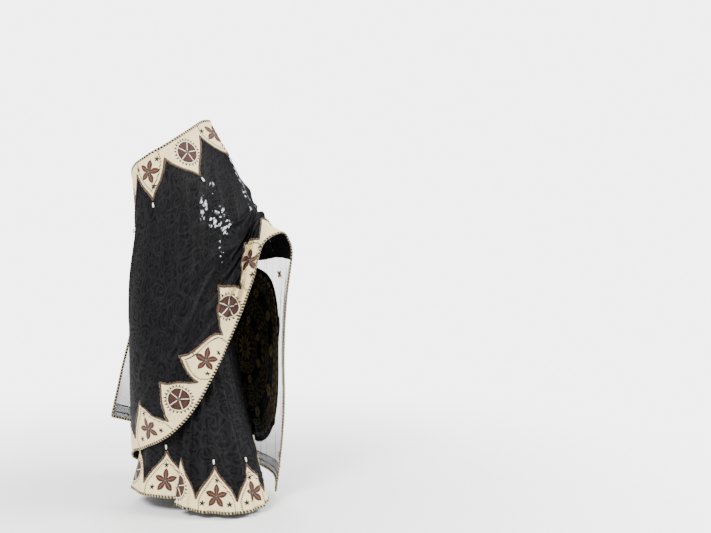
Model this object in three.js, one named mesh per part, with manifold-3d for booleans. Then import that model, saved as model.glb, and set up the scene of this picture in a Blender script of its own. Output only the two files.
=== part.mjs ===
// A worn saree in the nivi style, with its hollow kept open: two turns of dark lace round the hips,
// a fan of front pleats, the front drape up to the left shoulder and over the raised left arm,
// and the sheer end piece that falls from shoulder and arm. Millimetres, +Z up, -Y is the wearer's
// front and +X the wearer's left. Every height in the tables is above the floor.
import * as THREE from "three";
import Module from "manifold-3d";

const wasm = await Module();
wasm.setup();

// Driving sizes
const WAIST_HEIGHT = 1085; // where the waist is tucked in, and the origin
const LACE_WALL = 1.6;
const SHEER_WALL = 1.2;
const BORDER_WALL = 1.2;
// Clear space between each panel and what is sewn on it, so that they lie about 0.3 mm apart where
// the cloth bends most.
const LIFT = { under: 0.4, pleats: 1.25, hip: 1, lower: 1.05, chest: 2.35, wrist: 1.15 };
const LIFT_ABOVE = { shoulder: 2.2, medallion: 0.4, band: 1.7 };
const CUT_DEPTH = 20; // how thick the cutter of a sewn piece is, across the cloth
const SEAM_GAP = 0.6; // between two stretches of the cloth
const ARCH_WIDTH = 205; // one arch of the border along the edge, where no notches are given
const ARCH_HEIGHT = 172; // edge to the arch's point
const NOTCH_HEIGHT = 42; // edge to the notch between two arches
const END_BAND = 0.0625; // width of the band at the sheer end, as part of the end piece
const MEDALLION = { s: 0.465, t: 0.592, rs: 0.43, rt: 0.378, cut: 0.985 }; // parts of the end piece

// Colours of the finishes
const LACE = { color: 0x141416, roughness: 0.85, metalness: 0 };
const IVORY = { color: 0xdcc9a0, roughness: 0.8, metalness: 0 };
const SHEER = { color: 0x2a2a30, roughness: 0.6, metalness: 0 };
const BARKCLOTH = { color: 0x4a2c20, roughness: 0.8, metalness: 0 };
const END_TINT = { color: 0x3a2a22, roughness: 0.7, metalness: 0 };

// Places along the strip of cloth, in its own count: the seams between the stretches.
const SEAM = { start: 0, side: 700, crest: 1900, join: 2250, end: 3150 };
const RIGHT_SIDE = 900; // from here the lists of the lower and the chest border count

// Places of the notches between the arches along each edge, millimetres from its start; on the front
// drape from its right side. The chest's list goes on over the shoulder, the lower one over the wrist.
const NOTCHES = {
  under: [], // evenly round the ring
  pleats: [-100, 103, 286, 480, 685],
  hip: [12, 222, 410, 560, 740, 940, 1140],
  lower: [-350, -145, 60, 290, 501, 691, 875, 1086, 1370],
  chest: [-360, -165, 40, 179, 370, 555, 759, 960],
};
const SKIRT_ARCHES = 7;
const SKIRT_NOTCH = 565; // one notch of the under hem, from the wearer's left

// The skirt under everything: centre and half sizes of its ring at each height.
const SKIRT_RINGS = [
  { z: 66, cx: 62, cy: -8, a: 242, b: 206, wave: 7 },
  { z: 200, cx: 62, cy: 0, a: 206, b: 178, wave: 6 },
  { z: 400, cx: 48, cy: 10, a: 190, b: 148, wave: 4 },
  { z: 640, cx: 27, cy: 20, a: 176, b: 126, wave: 3 },
  { z: 900, cx: 8, cy: 25, a: 158, b: 112, wave: 2 },
  { z: 1000, cx: 4, cy: 22, a: 142, b: 98, wave: 1 },
  { z: 1085, cx: 0, cy: 20, a: 124, b: 88, wave: 0 },
];
const SKIRT_WAVES = 11;

// Front pleats, one row per level from hem to waist: right edge to left edge.
const PLEAT_ROWS = [
  { at: 0, pts: [[-93, -186, 46], [-25, -262, 28], [92, -346, 24], [195, -316, 22], [268, -248, 28]] },
  { at: 0.18, pts: [[-62, -174, 205], [-8, -238, 203], [84, -300, 200], [172, -272, 200], [238, -210, 200]] },
  { at: 0.36, pts: [[-38, -158, 400], [10, -194, 400], [76, -226, 400], [142, -214, 400], [192, -176, 400]] },
  { at: 0.6, pts: [[-36, -128, 640], [8, -150, 640], [58, -164, 640], [112, -156, 640], [150, -132, 640]] },
  { at: 0.83, pts: [[-42, -100, 900], [-10, -105, 900], [25, -109, 900], [66, -105, 900], [100, -94, 900]] },
  { at: 1, pts: [[-50, -84, 1083], [-20, -89, 1083], [20, -91, 1083], [60, -88, 1083], [90, -78, 1083]] },
];
const PLEATS = 6;
const PLEAT_DEPTH = 17; // at the hem
const PLEAT_DEPTH_TOP = 3;

// The strip of cloth from the last pleat to its sheer end. at is the place along the strip, and the
// points run from the lower edge to the upper one: hem, knee, hip, waist, top on the wrap; hem, thigh,
// belly, bust, neck on the front drape; wrist, forearm, elbow, upper arm, nape over the arm.
const STRIP_ROWS = [
  { at: 0, pts: [[250, -246, 40], [176, -168, 380], [104, -104, 740], [76, -80, 1000], [74, -81.6, 1083]] },
  { at: 126, pts: [[304, -125, 58], [256, -80, 360], [190, -60, 740], [145, -36, 1000], [128, -30, 1085]] },
  { at: 288, pts: [[318, 10, 66], [276, 25, 350], [206, 35, 740], [158, 32, 1000], [143, 30, 1088]] },
  { at: 495, pts: [[202, 202, 74], [178, 176, 360], [125, 156, 740], [85, 122, 1010], [78, 116, 1098]] },
  { at: 675, pts: [[8, 232, 90], [2, 200, 400], [-28, 165, 750], [-38, 130, 1010], [-42, 126, 1135]] },
  { at: 810, pts: [[-120, 168, 150], [-130, 150, 460], [-128, 132, 800], [-108, 112, 1050], [-112, 105, 1215]] },
  { at: 900, pts: [[-162, 60, 205], [-172, 52, 512], [-168, 52, 850], [-140, 55, 1110], [-150, 55, 1300]] },
  { at: 1030, pts: [[-154, -30, 236], [-164, -60, 520], [-160, -62, 860], [-128, -62, 1130], [-128, -45, 1352]] },
  { at: 1170, pts: [[-100, -148, 300], [-118, -150, 570], [-112, -122, 900], [-92, -112, 1180], [-75, -78, 1388]] },
  { at: 1320, pts: [[-24, -208, 400], [-36, -196, 660], [-30, -148, 960], [-15, -120, 1235], [-5, -68, 1428]] },
  { at: 1460, pts: [[60, -228, 545], [60, -210, 790], [65, -160, 1050], [65, -106, 1285], [62, -32, 1462]] },
  { at: 1580, pts: [[121, -206, 640], [130, -210, 850], [140, -172, 1090], [130, -90, 1310], [112, 0, 1486]] },
  { at: 1700, pts: [[176, -222, 770], [180, -222, 930], [188, -180, 1120], [165, -76, 1330], [140, 18, 1492]] },
  { at: 1780, pts: [[202, -270, 895], [214, -232, 1010], [215, -172, 1145], [183, -70, 1340], [152, 28, 1493]] },
  { at: 1850, pts: [[224, -312, 1026], [244, -224, 1080], [236, -160, 1168], [198, -68, 1345], [162, 37, 1493]] },
  { at: 1900, pts: [[296, -311, 1064], [272, -212, 1106], [251, -146, 1180], [206, -68, 1340], [169, 44, 1492]] },
  { at: 2022, pts: [[342, -293, 1030], [314, -200, 1072], [284, -118, 1150], [234, -20, 1320], [170, 77, 1476]] },
  { at: 2145, pts: [[359, -282, 990], [338, -188, 1020], [304, -60, 1070], [248, 36, 1230], [148, 130, 1400]] },
  { at: 2250, pts: [[360, -276, 958], [345, -190, 962], [304, -20, 955], [238, 58, 1110], [100, 160, 1275]] },
  { at: 2430, pts: [[350, -252, 800], [362, -140, 800], [318, 40, 810], [200, 152, 900], [45, 190, 1090]] },
  { at: 2655, pts: [[350, -228, 600], [368, -110, 590], [322, 70, 590], [195, 214, 660], [-45, 232, 830]] },
  { at: 2880, pts: [[358, -212, 370], [378, -100, 350], [342, 90, 340], [205, 252, 400], [-118, 266, 540]] },
  { at: 3042, pts: [[346, -206, 190], [378, -95, 180], [354, 102, 190], [215, 272, 262], [-150, 276, 400]] },
  { at: 3150, pts: [[325, -203, 36], [371, -90, 75], [352, 104, 95], [215, 275, 165], [-175, 272, 305] ] },
];

// Where the named points lie across the cloth: 0 is the lower edge, 1 the upper one.
const ACROSS = [0, 0.3, 0.6, 0.85, 1];
const PLEAT_ACROSS = [0, 0.25, 0.5, 0.75, 1];

// The large folds: a line from one place to the other, in strip place and part of the width.
const FOLDS = [
  { from: [1830, 0.34], to: [1440, 0.3], depth: 12, width: 26 },
  { from: [1800, 0.46], to: [1500, 0.5], depth: 11, width: 26 },
  { from: [1760, 0.2], to: [1300, 0.22], depth: 9, width: 30 },
  { from: [1240, 0.78], to: [1290, 0.45], depth: 9, width: 34 },
  { from: [1420, 0.8], to: [1390, 0.5], depth: 11, width: 34 },
  { from: [1080, 0.1], to: [1330, 0.34], depth: 9, width: 34 },
  { from: [1870, 0.4], to: [2160, 0.62], depth: 10, width: 26 },
  { from: [1980, 0.72], to: [2190, 0.45], depth: 9, width: 34 },
  { from: [2300, 0.95], to: [3100, 0.82], depth: 16, width: 40 },
  { from: [2330, 0.16], to: [3100, 0.12], depth: 12, width: 34 },
  { from: [2700, 0.98], to: [3140, 0.95], depth: 12, width: 26 },
  { from: [200, 0.02], to: [230, 0.5], depth: 9, width: 40 },
  { from: [590, 0.02], to: [580, 0.6], depth: 9, width: 40 },
  { from: [760, 0.1], to: [740, 0.7], depth: 7, width: 36 },
];
const STRIP_WIDTH = 1150; // the cloth's own width, for the distance to a fold

// Smooth curve through values at given keys; each value is a list of numbers.
function spline(keys, values, x) {
  const n = keys.length;
  let i = 0;
  while (i < n - 2 && x > keys[i + 1]) i += 1;
  const slope = (k, c) => {
    const lo = Math.max(k - 1, 0);
    const hi = Math.min(k + 1, n - 1);
    return (values[hi][c] - values[lo][c]) / (keys[hi] - keys[lo]);
  };
  const h = keys[i + 1] - keys[i];
  const q = (x - keys[i]) / h;
  const q2 = q * q;
  const q3 = q2 * q;
  return values[i].map(
    (v, c) =>
      v * (2 * q3 - 3 * q2 + 1) +
      values[i + 1][c] * (3 * q2 - 2 * q3) +
      h * slope(i, c) * (q3 - 2 * q2 + q) +
      h * slope(i + 1, c) * (q3 - q2),
  );
}

const sub = (p, q) => [p[0] - q[0], p[1] - q[1], p[2] - q[2]];
const along = (p, n, d) => [p[0] + n[0] * d, p[1] + n[1] * d, p[2] + n[2] * d];
const mix = (p, q, k) => [0, 1, 2].map((c) => p[c] + (q[c] - p[c]) * k);
const dot = (p, q) => p[0] * q[0] + p[1] * q[1] + p[2] * q[2];
const length = (p) => Math.hypot(p[0], p[1], p[2]);
const smooth = (x) => x * x * (3 - 2 * x);
const clamp = (x) => Math.min(Math.max(x, 0), 1);

function unitCross(p, q) {
  const v = [p[1] * q[2] - p[2] * q[1], p[2] * q[0] - p[0] * q[2], p[0] * q[1] - p[1] * q[0]];
  const l = length(v);
  return [v[0] / l, v[1] / l, v[2] / l];
}

// A point of a table of sections: place along the rows, part of the way across.
function onRows(rows, across, place, part) {
  return spline(
    rows.map((r) => r.at),
    rows.map((r) => spline(across, r.pts, part)),
    place,
  );
}

// A surface moved out along its own normal by a height that depends on the place.
function raised(surface, height, stepS, stepT) {
  return (s, t) => {
    const ds = sub(surface(s + stepS, t), surface(s - stepS, t));
    const dt = sub(surface(s, Math.min(t + stepT, 1)), surface(s, Math.max(t - stepT, 0)));
    return along(surface(s, t), unitCross(ds, dt), height(s, t));
  };
}

// Height of the large folds at a place of the strip.
function foldHeight(place, part) {
  let h = 0;
  for (const f of FOLDS) {
    const [ax, ay] = [f.from[0], f.from[1] * STRIP_WIDTH];
    const [dx, dy] = [f.to[0] - ax, f.to[1] * STRIP_WIDTH - ay];
    const k = clamp(((place - ax) * dx + (part * STRIP_WIDTH - ay) * dy) / (dx * dx + dy * dy));
    const off = Math.hypot(place - ax - k * dx, part * STRIP_WIDTH - ay - k * dy);
    h += f.depth * Math.exp(-((off / f.width) ** 2)) * (0.35 + 0.65 * Math.sin(Math.PI * (0.12 + 0.76 * k)));
  }
  return h;
}

// Soft knife pleats: each rises slowly and turns under quickly, deepest at the hem.
function pleatHeight(side, level) {
  const x = side * PLEATS;
  const q = x - Math.floor(x);
  const wave = q < 0.72 ? smooth(q / 0.72) : smooth((1 - q) / 0.28);
  const fade = Math.min(1, 8 * side, 8 * (1 - side));
  return wave * fade * (PLEAT_DEPTH + (PLEAT_DEPTH_TOP - PLEAT_DEPTH) * Math.sqrt(level));
}

const strip = raised((s, t) => onRows(STRIP_ROWS, ACROSS, s, t), foldHeight, 6, 0.01);
const pleatBase = (side, level) => {
  const keys = PLEAT_ROWS.map((r) => r.at);
  return spline(keys, PLEAT_ROWS.map((r) => spline(PLEAT_ACROSS, r.pts, side)), level);
};
const pleatCloth = raised(pleatBase, pleatHeight, 0.01, 0.01);

function skirt(turn, level) {
  const keys = SKIRT_RINGS.map((r) => r.z);
  const z = keys[0] + (keys[keys.length - 1] - keys[0]) * level;
  const [cx, cy, a, b, wave] = spline(keys, SKIRT_RINGS.map((r) => [r.cx, r.cy, r.a, r.b, r.wave]), z);
  const angle = turn * 2 * Math.PI;
  const front = 0.5 - 0.5 * Math.sin(angle);
  const grow = 1 + (wave * (1 - smooth(front)) * Math.cos(angle * SKIRT_WAVES)) / a;
  return [cx + a * grow * Math.cos(angle), cy + b * grow * Math.sin(angle), z];
}

// Points (columns along the cloth, rows across) and unit normals of one stretch of a surface.
function sample(surface, from, to, columns, rows, closed = false) {
  const grid = [];
  const count = closed ? columns : columns + 1;
  for (let i = 0; i < count; i += 1) {
    const s = from + ((to - from) * i) / columns;
    const column = [];
    for (let j = 0; j <= rows; j += 1) column.push(surface(s, j / rows));
    grid.push(column);
  }
  return { grid, normals: gridNormals(surface, from, to, columns, rows, grid), closed };
}

// Normals from the surface itself, so that two stretches agree where they meet.
function gridNormals(surface, from, to, columns, rows, grid) {
  const step = (to - from) / columns;
  return grid.map((column, i) =>
    column.map((_, j) => {
      const s = from + step * i;
      const t = j / rows;
      const e = 0.5 / rows;
      const ds = sub(surface(s + step / 2, t), surface(s - step / 2, t));
      const dt = sub(surface(s, Math.min(t + e, 1)), surface(s, Math.max(t - e, 0)));
      return unitCross(ds, dt);
    }),
  );
}

// A closed wall along a grid, its middle at an offset from it along the normals.
function wallGeometry({ grid, normals, closed }, offset, wall) {
  const n = grid.length;
  const m = grid[0].length;
  const position = [];
  for (const side of [offset + wall / 2, offset - wall / 2]) {
    grid.forEach((column, i) => column.forEach((p, j) => position.push(...along(p, normals[i][j], side))));
  }
  const index = [];
  const at = (layer, i, j) => layer * n * m + (i % n) * m + j;
  const quad = (a, b, c, d) => index.push(a, b, c, a, c, d);
  const spans = closed ? n : n - 1;
  for (let i = 0; i < spans; i += 1) {
    for (let j = 0; j < m - 1; j += 1) {
      quad(at(0, i, j), at(0, i + 1, j), at(0, i + 1, j + 1), at(0, i, j + 1));
      quad(at(1, i, j), at(1, i, j + 1), at(1, i + 1, j + 1), at(1, i + 1, j));
    }
    quad(at(0, i, 0), at(1, i, 0), at(1, i + 1, 0), at(0, i + 1, 0));
    quad(at(0, i, m - 1), at(0, i + 1, m - 1), at(1, i + 1, m - 1), at(1, i, m - 1));
  }
  for (let j = 0; !closed && j < m - 1; j += 1) {
    quad(at(0, 0, j), at(0, 0, j + 1), at(1, 0, j + 1), at(1, 0, j));
    quad(at(0, n - 1, j), at(1, n - 1, j), at(1, n - 1, j + 1), at(0, n - 1, j + 1));
  }
  const geometry = new THREE.BufferGeometry();
  geometry.setAttribute("position", new THREE.Float32BufferAttribute(position, 3));
  geometry.setIndex(index);
  geometry.computeVertexNormals();
  return geometry;
}

// The point and normal at a place between the points of a sampled stretch.
function between(cloth, u, v) {
  const n = cloth.grid.length;
  const m = cloth.grid[0].length;
  const i = cloth.closed ? Math.floor(u) % n : Math.min(Math.floor(u), n - 2);
  const k = cloth.closed ? (i + 1) % n : i + 1;
  const j = Math.min(Math.floor(v), m - 2);
  const fu = cloth.closed ? u - Math.floor(u) : u - i;
  const fv = v - j;
  const blend = (list) => mix(mix(list[i][j], list[k][j], fu), mix(list[i][j + 1], list[k][j + 1], fu), fv);
  return { point: blend(cloth.grid), normal: blend(cloth.normals) };
}

// Height of the border above the edge, by the place along it: pointed arches with low notches.
function archHeight(notches, distance) {
  let k = 0;
  while (k < notches.length - 2 && distance > notches[k + 1]) k += 1;
  const p = clamp((distance - notches[k]) / (notches[k + 1] - notches[k]));
  const x = 1 - Math.abs(2 * p - 1);
  const f = 0.72 * Math.sin((Math.PI * x) / 2) ** 0.8 + 0.28 * x ** 6;
  return NOTCH_HEIGHT + (ARCH_HEIGHT - NOTCH_HEIGHT) * f;
}

// Notches at even places from the start of an edge of that length.
const evenNotches = (edge, count, first) => Array.from({ length: count + 2 }, (_, k) => first + ((k - 1) * edge) / count);

// How far a line square to the edge drifts along the cloth, in columns for each row.
function driftAt(at, u, last, ease) {
  const [lo, hi] = [Math.max(u - 1.5, 0), Math.min(u + 1.5, last)];
  const edge = sub(at(hi, 0).point, at(lo, 0).point).map((x) => x / (hi - lo));
  const up = sub(at(u, 1.5).point, at(u, 0).point).map((x) => x / 1.5);
  const ends = smooth(clamp(u / ease)) * smooth(clamp((last - u) / 3));
  return -ends * (dot(up, edge) / dot(edge, edge));
}

// The border along one edge of a stretch, from its own points: upper turns it to hang from the top,
// square 1 makes the arches stand square to a slanting edge, after ease columns, and more leans them back.
function borderOf(cloth, notches, { upper = false, start = 0, fine = 2, rows = 3, square = 0, ease = 3 } = {}) {
  const n = cloth.grid.length;
  const top = cloth.grid[0].length - 1;
  const count = cloth.closed ? n * fine : (n - 1) * fine + 1;
  const result = { grid: [], normals: [], closed: cloth.closed, distance: start };
  let before = null;
  for (let i = 0; i < count; i += 1) {
    const u = i / fine;
    const onCloth = (a, v) => between(cloth, a, upper ? top - v : v);
    const drift = square * driftAt(onCloth, u, n - 1, ease);
    const low = Math.min(u, 0.12 * u);
    const high = n - 1 - 0.12 * (n - 1 - u);
    const at = (v) => onCloth(drift ? Math.min(Math.max(u + drift * v, low), high) : u, v);
    const edge = at(0).point;
    if (before) result.distance += length(sub(edge, before));
    before = edge;
    const v = rowAtHeight(at, archHeight(notches, result.distance), top);
    const parts = Array.from({ length: rows + 1 }, (_, j) => at((v * (upper ? rows - j : j)) / rows));
    result.grid.push(parts.map((q) => q.point));
    result.normals.push(parts.map((q) => q.normal));
  }
  return result;
}

// How many rows of the cloth lie below a height, walked up from its edge.
function rowAtHeight(at, height, top) {
  const step = 0.1;
  let walked = 0;
  let last = at(0).point;
  for (let v = step; v < top; v += step) {
    const next = at(v).point;
    const d = length(sub(next, last));
    if (walked + d >= height) return v - step + (step * (height - walked)) / d;
    walked += d;
    last = next;
  }
  return top;
}

// A region of a stretch, from its own points: span gives the part across for a part along it.
function regionOf(cloth, from, to, columns, rows, span) {
  const n = cloth.grid.length - 1;
  const top = cloth.grid[0].length - 1;
  const result = { grid: [], normals: [], closed: false };
  for (let i = 0; i <= columns; i += 1) {
    const s = from + ((to - from) * i) / columns;
    const [low, high] = span(s);
    const parts = Array.from({ length: rows + 1 }, (_, j) => between(cloth, s * n, (low + ((high - low) * j) / rows) * top));
    result.grid.push(parts.map((q) => q.point));
    result.normals.push(parts.map((q) => q.normal));
  }
  return result;
}

const solidOf = (geometry) =>
  new wasm.Manifold(
    new wasm.Mesh({
      numProp: 3,
      vertProperties: new Float32Array(geometry.getAttribute("position").array),
      triVerts: new Uint32Array(geometry.index.array),
    }),
  );

// What is sewn on a stretch: a wall just outside it.
const sewnOffset = (wall, lift) => wall / 2 + lift + BORDER_WALL / 2;
const sewnGeometry = (outline, wall, lift) => wallGeometry(outline, sewnOffset(wall, lift), BORDER_WALL);

// The same where the cloth is folded sharply: the cloth's own wall moved out, cut to the outline.
function cutGeometry(cloth, outline, wall, lift) {
  const offset = sewnOffset(wall, lift);
  const layer = solidOf(wallGeometry(cloth, offset, BORDER_WALL));
  const cutter = solidOf(wallGeometry(outline, offset, CUT_DEPTH));
  const bodies = layer.intersect(cutter).decompose();
  const mesh = bodies.sort((p, q) => q.volume() - p.volume())[0].getMesh();
  const geometry = new THREE.BufferGeometry();
  geometry.setAttribute("position", new THREE.Float32BufferAttribute(mesh.vertProperties, 3));
  geometry.setIndex([...mesh.triVerts]);
  geometry.computeVertexNormals();
  return geometry;
}

// Length of an edge of the strip from the seam at the back to the right side.
function sideLength(part) {
  const steps = 12;
  let sum = 0;
  for (let i = 0; i < steps; i += 1) {
    const at = (k) => strip(SEAM.side + ((RIGHT_SIDE - SEAM.side) * k) / steps, part);
    sum += length(sub(at(i + 1), at(i)));
  }
  return sum;
}

const group = new THREE.Group();
group.position.z = -WAIST_HEIGHT;

function add(name, geometry, finish) {
  const mesh = new THREE.Mesh(geometry, new THREE.MeshStandardMaterial(finish));
  mesh.name = name;
  group.add(mesh);
}

const half = SEAM_GAP / 2;

const under = sample(skirt, 0, 1, 36, 6, true);
const ring = under.grid.map((column) => column[0]);
const hemLength = ring.reduce((sum, p, i) => sum + length(sub(ring[(i + 1) % ring.length], p)), 0);
const evenly = evenNotches(hemLength, SKIRT_ARCHES, SKIRT_NOTCH % (hemLength / SKIRT_ARCHES));
add("under_wrap", wallGeometry(under, 0, LACE_WALL), LACE);
add("under_hem_border", sewnGeometry(borderOf(under, evenly, { rows: 2 }), LACE_WALL, LIFT.under), IVORY);

const pleats = sample(pleatCloth, 0, 1, 36, 9);
add("front_pleats", wallGeometry(pleats, 0, LACE_WALL), LACE);
add("pleat_hem_border", sewnGeometry(borderOf(pleats, NOTCHES.pleats, { rows: 2 }), LACE_WALL, LIFT.pleats), IVORY);

const hip = sample(strip, SEAM.start, SEAM.side - half, 20, 10);
add("hip_wrap", wallGeometry(hip, 0, LACE_WALL), LACE);
add("hip_hem_border", sewnGeometry(borderOf(hip, NOTCHES.hip), LACE_WALL, LIFT.hip), IVORY);

const drape = sample(strip, SEAM.side + half, SEAM.crest - half, 37, 16);
const lower = borderOf(drape, NOTCHES.lower, { start: -sideLength(0), square: 1.25 });
const chest = borderOf(drape, NOTCHES.chest, { upper: true, start: -sideLength(1), fine: 1, square: 0.6, ease: 12 });
add("front_drape", wallGeometry(drape, 0, LACE_WALL), LACE);
add("drape_lower_border", cutGeometry(drape, lower, LACE_WALL, LIFT.lower), IVORY);
add("chest_border", sewnGeometry(chest, LACE_WALL, LIFT.chest), IVORY);

const arm = sample(strip, SEAM.crest + half, SEAM.join - half, 12, 16);
const wrist = borderOf(arm, NOTCHES.lower, { start: lower.distance, square: 1 });
const shoulder = borderOf(arm, NOTCHES.chest, { upper: true, start: chest.distance, square: 0.6 });
add("arm_drape", wallGeometry(arm, 0, LACE_WALL), LACE);
add("wrist_border", sewnGeometry(wrist, LACE_WALL, LIFT.wrist), IVORY);
add("shoulder_border", sewnGeometry(shoulder, LACE_WALL, LIFT_ABOVE.shoulder), IVORY);

const pallu = sample(strip, SEAM.join + half, SEAM.end, 24, 16);
const oval = (s) => {
  const w = MEDALLION.rt * Math.sqrt(1 - ((s - MEDALLION.s) / MEDALLION.rs) ** 2);
  return [MEDALLION.t - w, MEDALLION.t + w];
};
const reach = MEDALLION.rs * MEDALLION.cut;
const medallion = regionOf(pallu, MEDALLION.s - reach, MEDALLION.s + reach, 16, 8, oval);
const endBand = regionOf(pallu, 1 - END_BAND, 1, 3, 16, () => [0, 1]);
add("pallu", wallGeometry(pallu, 0, SHEER_WALL), SHEER);
add("pallu_medallion", cutGeometry(pallu, medallion, SHEER_WALL, LIFT_ABOVE.medallion), BARKCLOTH);
add("pallu_end_band", sewnGeometry(endBand, SHEER_WALL, LIFT_ABOVE.band), END_TINT);

export default group;
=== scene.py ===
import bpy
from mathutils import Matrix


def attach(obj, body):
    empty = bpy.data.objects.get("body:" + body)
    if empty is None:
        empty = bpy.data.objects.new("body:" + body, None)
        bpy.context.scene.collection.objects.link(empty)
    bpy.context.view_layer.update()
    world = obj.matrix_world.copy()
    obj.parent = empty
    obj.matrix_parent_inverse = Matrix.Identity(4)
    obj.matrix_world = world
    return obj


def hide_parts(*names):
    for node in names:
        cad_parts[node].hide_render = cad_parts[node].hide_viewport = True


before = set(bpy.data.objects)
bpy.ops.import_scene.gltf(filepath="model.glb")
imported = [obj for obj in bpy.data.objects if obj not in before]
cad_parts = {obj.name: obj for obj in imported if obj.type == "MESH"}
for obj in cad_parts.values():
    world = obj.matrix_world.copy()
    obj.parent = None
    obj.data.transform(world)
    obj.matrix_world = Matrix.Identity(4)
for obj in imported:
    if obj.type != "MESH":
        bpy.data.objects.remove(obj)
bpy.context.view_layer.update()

"""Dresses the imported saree: black figured lace, arched ivory borders with braid and drop beads, and a
sheer end piece with a patterned oval. Tables are in millimetres above the floor, as the part's own;
every mesh comes out in metres, in the part's frame."""

import logging
import math
from dataclasses import dataclass, field
from enum import Enum
from typing import Callable, Sequence

import bmesh
import bpy
import numpy as np
from mathutils import Matrix, Vector

log = logging.getLogger("saree")

MM = 0.001
WAIST_HEIGHT = 1085.0
SEAM_START, SEAM_SIDE, SEAM_CREST, SEAM_JOIN, SEAM_END = 0.0, 700.0, 1900.0, 2250.0, 3150.0
SEAM_GAP = 0.6
RIGHT_SIDE = 900.0
STRIP_WIDTH = 1150.0
ARCH_HEIGHT = 172.0
NOTCH_HEIGHT = 42.0
ARCH_ROUND, ARCH_SHOULDER, ARCH_TIP = 0.72, 0.8, 6
EDGE_STEPS = 24  # measured for each column along an edge
HEIGHT_STEPS = 160  # measured from edge to edge of a stretch
OUTLINE_PAST, OUTLINE_STEP = 60.0, 1.5
BEAD_ROOM = 8.0
DROP_RADIUS, DROP_HALF_LENGTH = 0.0052, 0.0095  # metres
TUBE_SIDES, TUBE_STEP, TUBE_FLATNESS = 7, 3.0, 0.7
CLOTH_WALL = 1.2
APPLIQUE_WALL = 0.9
APPLIQUE_LIFT = 1.5
CLOSE = 2e-5  # metres between points that are one
UV_MAP = "UVMap"
MIX_FACTOR, MIX_UNDER, MIX_OVER, MIX_RESULT = 0, 6, 7, 2  # sockets of a Mix node that mixes colours

# Points of the strip from its lower to its upper edge, one row for each place along it.
ACROSS = (0.0, 0.3, 0.6, 0.85, 1.0)
STRIP_ROWS = (
    (0, ((250, -246, 40), (176, -168, 380), (104, -104, 740), (76, -80, 1000), (74, -81.6, 1083))),
    (126, ((304, -125, 58), (256, -80, 360), (190, -60, 740), (145, -36, 1000), (128, -30, 1085))),
    (288, ((318, 10, 66), (276, 25, 350), (206, 35, 740), (158, 32, 1000), (143, 30, 1088))),
    (495, ((202, 202, 74), (178, 176, 360), (125, 156, 740), (85, 122, 1010), (78, 116, 1098))),
    (675, ((8, 232, 90), (2, 200, 400), (-28, 165, 750), (-38, 130, 1010), (-42, 126, 1135))),
    (810, ((-120, 168, 150), (-130, 150, 460), (-128, 132, 800), (-108, 112, 1050), (-112, 105, 1215))),
    (900, ((-162, 60, 205), (-172, 52, 512), (-168, 52, 850), (-140, 55, 1110), (-150, 55, 1300))),
    (1030, ((-154, -30, 236), (-164, -60, 520), (-160, -62, 860), (-128, -62, 1130), (-128, -45, 1352))),
    (1170, ((-100, -148, 300), (-118, -150, 570), (-112, -122, 900), (-92, -112, 1180), (-75, -78, 1388))),
    (1320, ((-24, -208, 400), (-36, -196, 660), (-30, -148, 960), (-15, -120, 1235), (-5, -68, 1428))),
    (1460, ((60, -228, 545), (60, -210, 790), (65, -160, 1050), (65, -106, 1285), (62, -32, 1462))),
    (1580, ((121, -206, 640), (130, -210, 850), (140, -172, 1090), (130, -90, 1310), (112, 0, 1486))),
    (1700, ((176, -222, 770), (180, -222, 930), (188, -180, 1120), (165, -76, 1330), (140, 18, 1492))),
    (1780, ((202, -270, 895), (214, -232, 1010), (215, -172, 1145), (183, -70, 1340), (152, 28, 1493))),
    (1850, ((224, -312, 1026), (244, -224, 1080), (236, -160, 1168), (198, -68, 1345), (162, 37, 1493))),
    (1900, ((296, -311, 1064), (272, -212, 1106), (251, -146, 1180), (206, -68, 1340), (169, 44, 1492))),
    (2022, ((342, -293, 1030), (314, -200, 1072), (284, -118, 1150), (234, -20, 1320), (170, 77, 1476))),
    (2145, ((359, -282, 990), (338, -188, 1020), (304, -60, 1070), (248, 36, 1230), (148, 130, 1400))),
    (2250, ((360, -276, 958), (345, -190, 962), (304, -20, 955), (238, 58, 1110), (100, 160, 1275))),
    (2430, ((350, -252, 800), (362, -140, 800), (318, 40, 810), (200, 152, 900), (45, 190, 1090))),
    (2655, ((350, -228, 600), (368, -110, 590), (322, 70, 590), (195, 214, 660), (-45, 232, 830))),
    (2880, ((358, -212, 370), (378, -100, 350), (342, 90, 340), (205, 252, 400), (-118, 266, 540))),
    (3042, ((346, -206, 190), (378, -95, 180), (354, 102, 190), (215, 272, 262), (-150, 276, 400))),
    (3150, ((325, -203, 36), (371, -90, 75), (352, 104, 95), (215, 275, 165), (-175, 272, 305))),
)

# Front pleats from hem to waist: part of the height, then points from the right edge to the left one.
PLEAT_ACROSS = (0.0, 0.25, 0.5, 0.75, 1.0)
PLEAT_ROWS = (
    (0.0, ((-93, -186, 46), (-25, -262, 28), (92, -346, 24), (195, -316, 22), (268, -248, 28))),
    (0.18, ((-62, -174, 205), (-8, -238, 203), (84, -300, 200), (172, -272, 200), (238, -210, 200))),
    (0.36, ((-38, -158, 400), (10, -194, 400), (76, -226, 400), (142, -214, 400), (192, -176, 400))),
    (0.6, ((-36, -128, 640), (8, -150, 640), (58, -164, 640), (112, -156, 640), (150, -132, 640))),
    (0.83, ((-42, -100, 900), (-10, -105, 900), (25, -109, 900), (66, -105, 900), (100, -94, 900))),
    (1.0, ((-50, -84, 1083), (-20, -89, 1083), (20, -91, 1083), (60, -88, 1083), (90, -78, 1083))),
)
PLEATS = 6
PLEAT_DEPTH = 17.0
PLEAT_DEPTH_TOP = 3.0

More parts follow.
